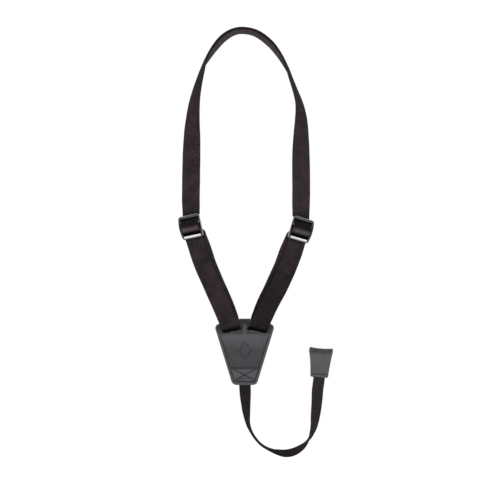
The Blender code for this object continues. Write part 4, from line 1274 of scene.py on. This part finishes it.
# ------------------------------------------------------------------ CAD nodes that stay
for name, material in (
    ("left_slider_middle_bar", ROD), ("right_slider_middle_bar", ROD),
    ("hook_core", STRIP), ("yoke_inner_board", BOARD),
):
    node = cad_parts[name]
    mesh = node.data
    mesh.materials.clear()
    mesh.materials.append(material)
    if material is ROD:
        bevel = node.modifiers.new("edge", "BEVEL")
        bevel.width = 0.25 * MM
        bevel.segments = 3
        bevel.limit_method = "ANGLE"
        bevel.angle_limit = math.radians(50)
        mesh.polygons.foreach_set("use_smooth", np.ones(len(mesh.polygons), bool))
        mesh.set_sharp_from_angle(angle=math.radians(50))


# ------------------------------------------------------------------ stage, light and camera
def pale_floor():
    """Plain and pale, even to the horizon, and dull where the metal mirrors it."""
    nodes = Nodes("pale_floor")
    rays = nodes.add("LightPath").outputs
    nodes.finish(
        Base_Color=(0.93, 0.93, 0.93, 1.0),
        Roughness=0.9,
        Specular_IOR_Level=0.0,
        Emission_Color=(1.0, 1.0, 1.0, 1.0),
        Emission_Strength=nodes.calc("MULTIPLY", rays["Is Camera Ray"], 0.82),
    )
    surface = nodes.tree.nodes["Material Output"].inputs["Surface"]
    dull = nodes.add("Emission", Color=(0.15, 0.15, 0.16, 1.0), Strength=1.0)
    either = nodes.add("MixShader", Fac=rays["Is Glossy Ray"])
    nodes.put(either.inputs[1], nodes.shader.outputs["BSDF"])
    nodes.put(either.inputs[2], dull.outputs[0])
    nodes.put(surface, either.outputs[0])
    return nodes.material


FLOOR_RADIUS, FLOOR_Z = 2600, -300.0
rim = [
    (FLOOR_RADIUS * math.cos(angle), FLOOR_RADIUS * math.sin(angle), FLOOR_Z)
    for angle in np.linspace(0, 2 * math.pi, 64, endpoint=False)
]
made("floor", rim, [tuple(range(64))], pale_floor())


def build_world():
    """A white studio to the camera, soft light on the strap, and grey bands for the metal."""
    studio = bpy.data.worlds.new("studio")
    bpy.context.scene.world = studio
    studio.use_nodes = True
    tree = studio.node_tree
    tree.nodes.clear()
    link = tree.links.new

    def add(kind):
        return tree.nodes.new("ShaderNode" + kind)

    def background(colour, strength):
        node = add("Background")
        node.inputs["Color"].default_value = colour
        node.inputs["Strength"].default_value = strength
        return node

    def mixed(share, first, second):
        node = add("MixShader")
        link(share, node.inputs["Fac"])
        link(first.outputs[0], node.inputs[1])
        link(second.outputs[0], node.inputs[2])
        return node

    output = add("OutputWorld")
    rays = add("LightPath").outputs
    split = add("SeparateXYZ")
    link(add("TexCoord").outputs["Generated"], split.inputs[0])
    # the view's height, from 0 straight down to 1 straight up
    height = add("Math")
    height.operation = "MULTIPLY_ADD"
    height.inputs[1].default_value = 0.5
    height.inputs[2].default_value = 0.5
    link(split.outputs["Z"], height.inputs[0])

    def sky(stops, strength):
        """Grey bands at (height, grey), from floor (0) by horizon (0.5) to ceiling (1)."""
        ramp = add("ValToRGB")
        elements = ramp.color_ramp.elements
        elements[0].position = stops[0][0]
        elements[1].position = stops[-1][0]
        for place, _ in stops[1:-1]:
            elements.new(place)
        in_order = sorted(elements, key=lambda element: element.position)
        for element, (_, grey) in zip(in_order, stops):
            element.color = (grey, grey, grey * 1.01, 1.0)
        light = add("Background")
        light.inputs["Strength"].default_value = strength
        link(height.outputs[0], ramp.inputs["Fac"])
        link(ramp.outputs["Color"], light.inputs["Color"])
        return light

    plain = background((1.0, 1.0, 1.0, 1.0), 1.0)
    soft = sky([(0.0, 0.5), (0.5, 0.75), (1.0, 0.8)], strength=0.30)
    bands = [
        (0.0, 0.07), (0.48, 0.02), (0.61, 0.035), (0.67, 0.10), (0.71, 0.95), (0.87, 1.0),
        (0.93, 0.18), (1.0, 0.09),
    ]
    mirrored = sky(bands, strength=1.40)
    # behind the strap the metal mirrors a pale sweep
    sweep = background((0.80, 0.80, 0.82, 1.0), 1.0)
    beyond = add("MapRange")
    beyond.inputs["From Min"].default_value = 0.25
    beyond.inputs["From Max"].default_value = 0.65
    link(split.outputs["Y"], beyond.inputs["Value"])
    seen_in_metal = mixed(beyond.outputs["Result"], mirrored, sweep)
    lighting = mixed(rays["Is Glossy Ray"], soft, seen_in_metal)
    link(mixed(rays["Is Camera Ray"], lighting, plain).outputs[0], output.inputs["Surface"])


def area(name, at, aim, size, power):
    """A rectangular lamp, in metres and watts, that is neither seen nor mirrored."""
    data = bpy.data.lights.new(name, "AREA")
    data.shape = "RECTANGLE"
    data.size, data.size_y = size
    data.energy = power
    lamp = added(name, data)
    lamp.location = at
    lamp.rotation_mode = "QUATERNION"
    lamp.rotation_quaternion = (Vector(aim) - Vector(at)).to_track_quat("-Z", "Y")
    lamp.visible_camera = False
    lamp.visible_glossy = False


build_world()
area("key", at=(-0.40, -1.25, 0.95), aim=(0.0, 0.0, 0.12), size=(0.9, 0.9), power=13.0)
area("fill", at=(0.85, -1.55, 0.25), aim=(0.0, 0.0, 0.10), size=(0.8, 1.0), power=7.0)
area("back", at=(0.2, 1.4, 0.9), aim=(0.0, 0.0, 0.12), size=(1.0, 0.7), power=10.0)

camera_data = bpy.data.cameras.new("camera")
camera_data.sensor_width = 36.0
camera_data.lens = 154.3
camera_data.clip_end = 20.0
camera = added("camera", camera_data)
camera.location = (6.05 * MM, -2.4029, 114.24 * MM)
camera.rotation_euler = (math.radians(90), 0.0, 0.0)
bpy.context.scene.camera = camera
bpy.context.scene.view_settings.view_transform = "Standard"
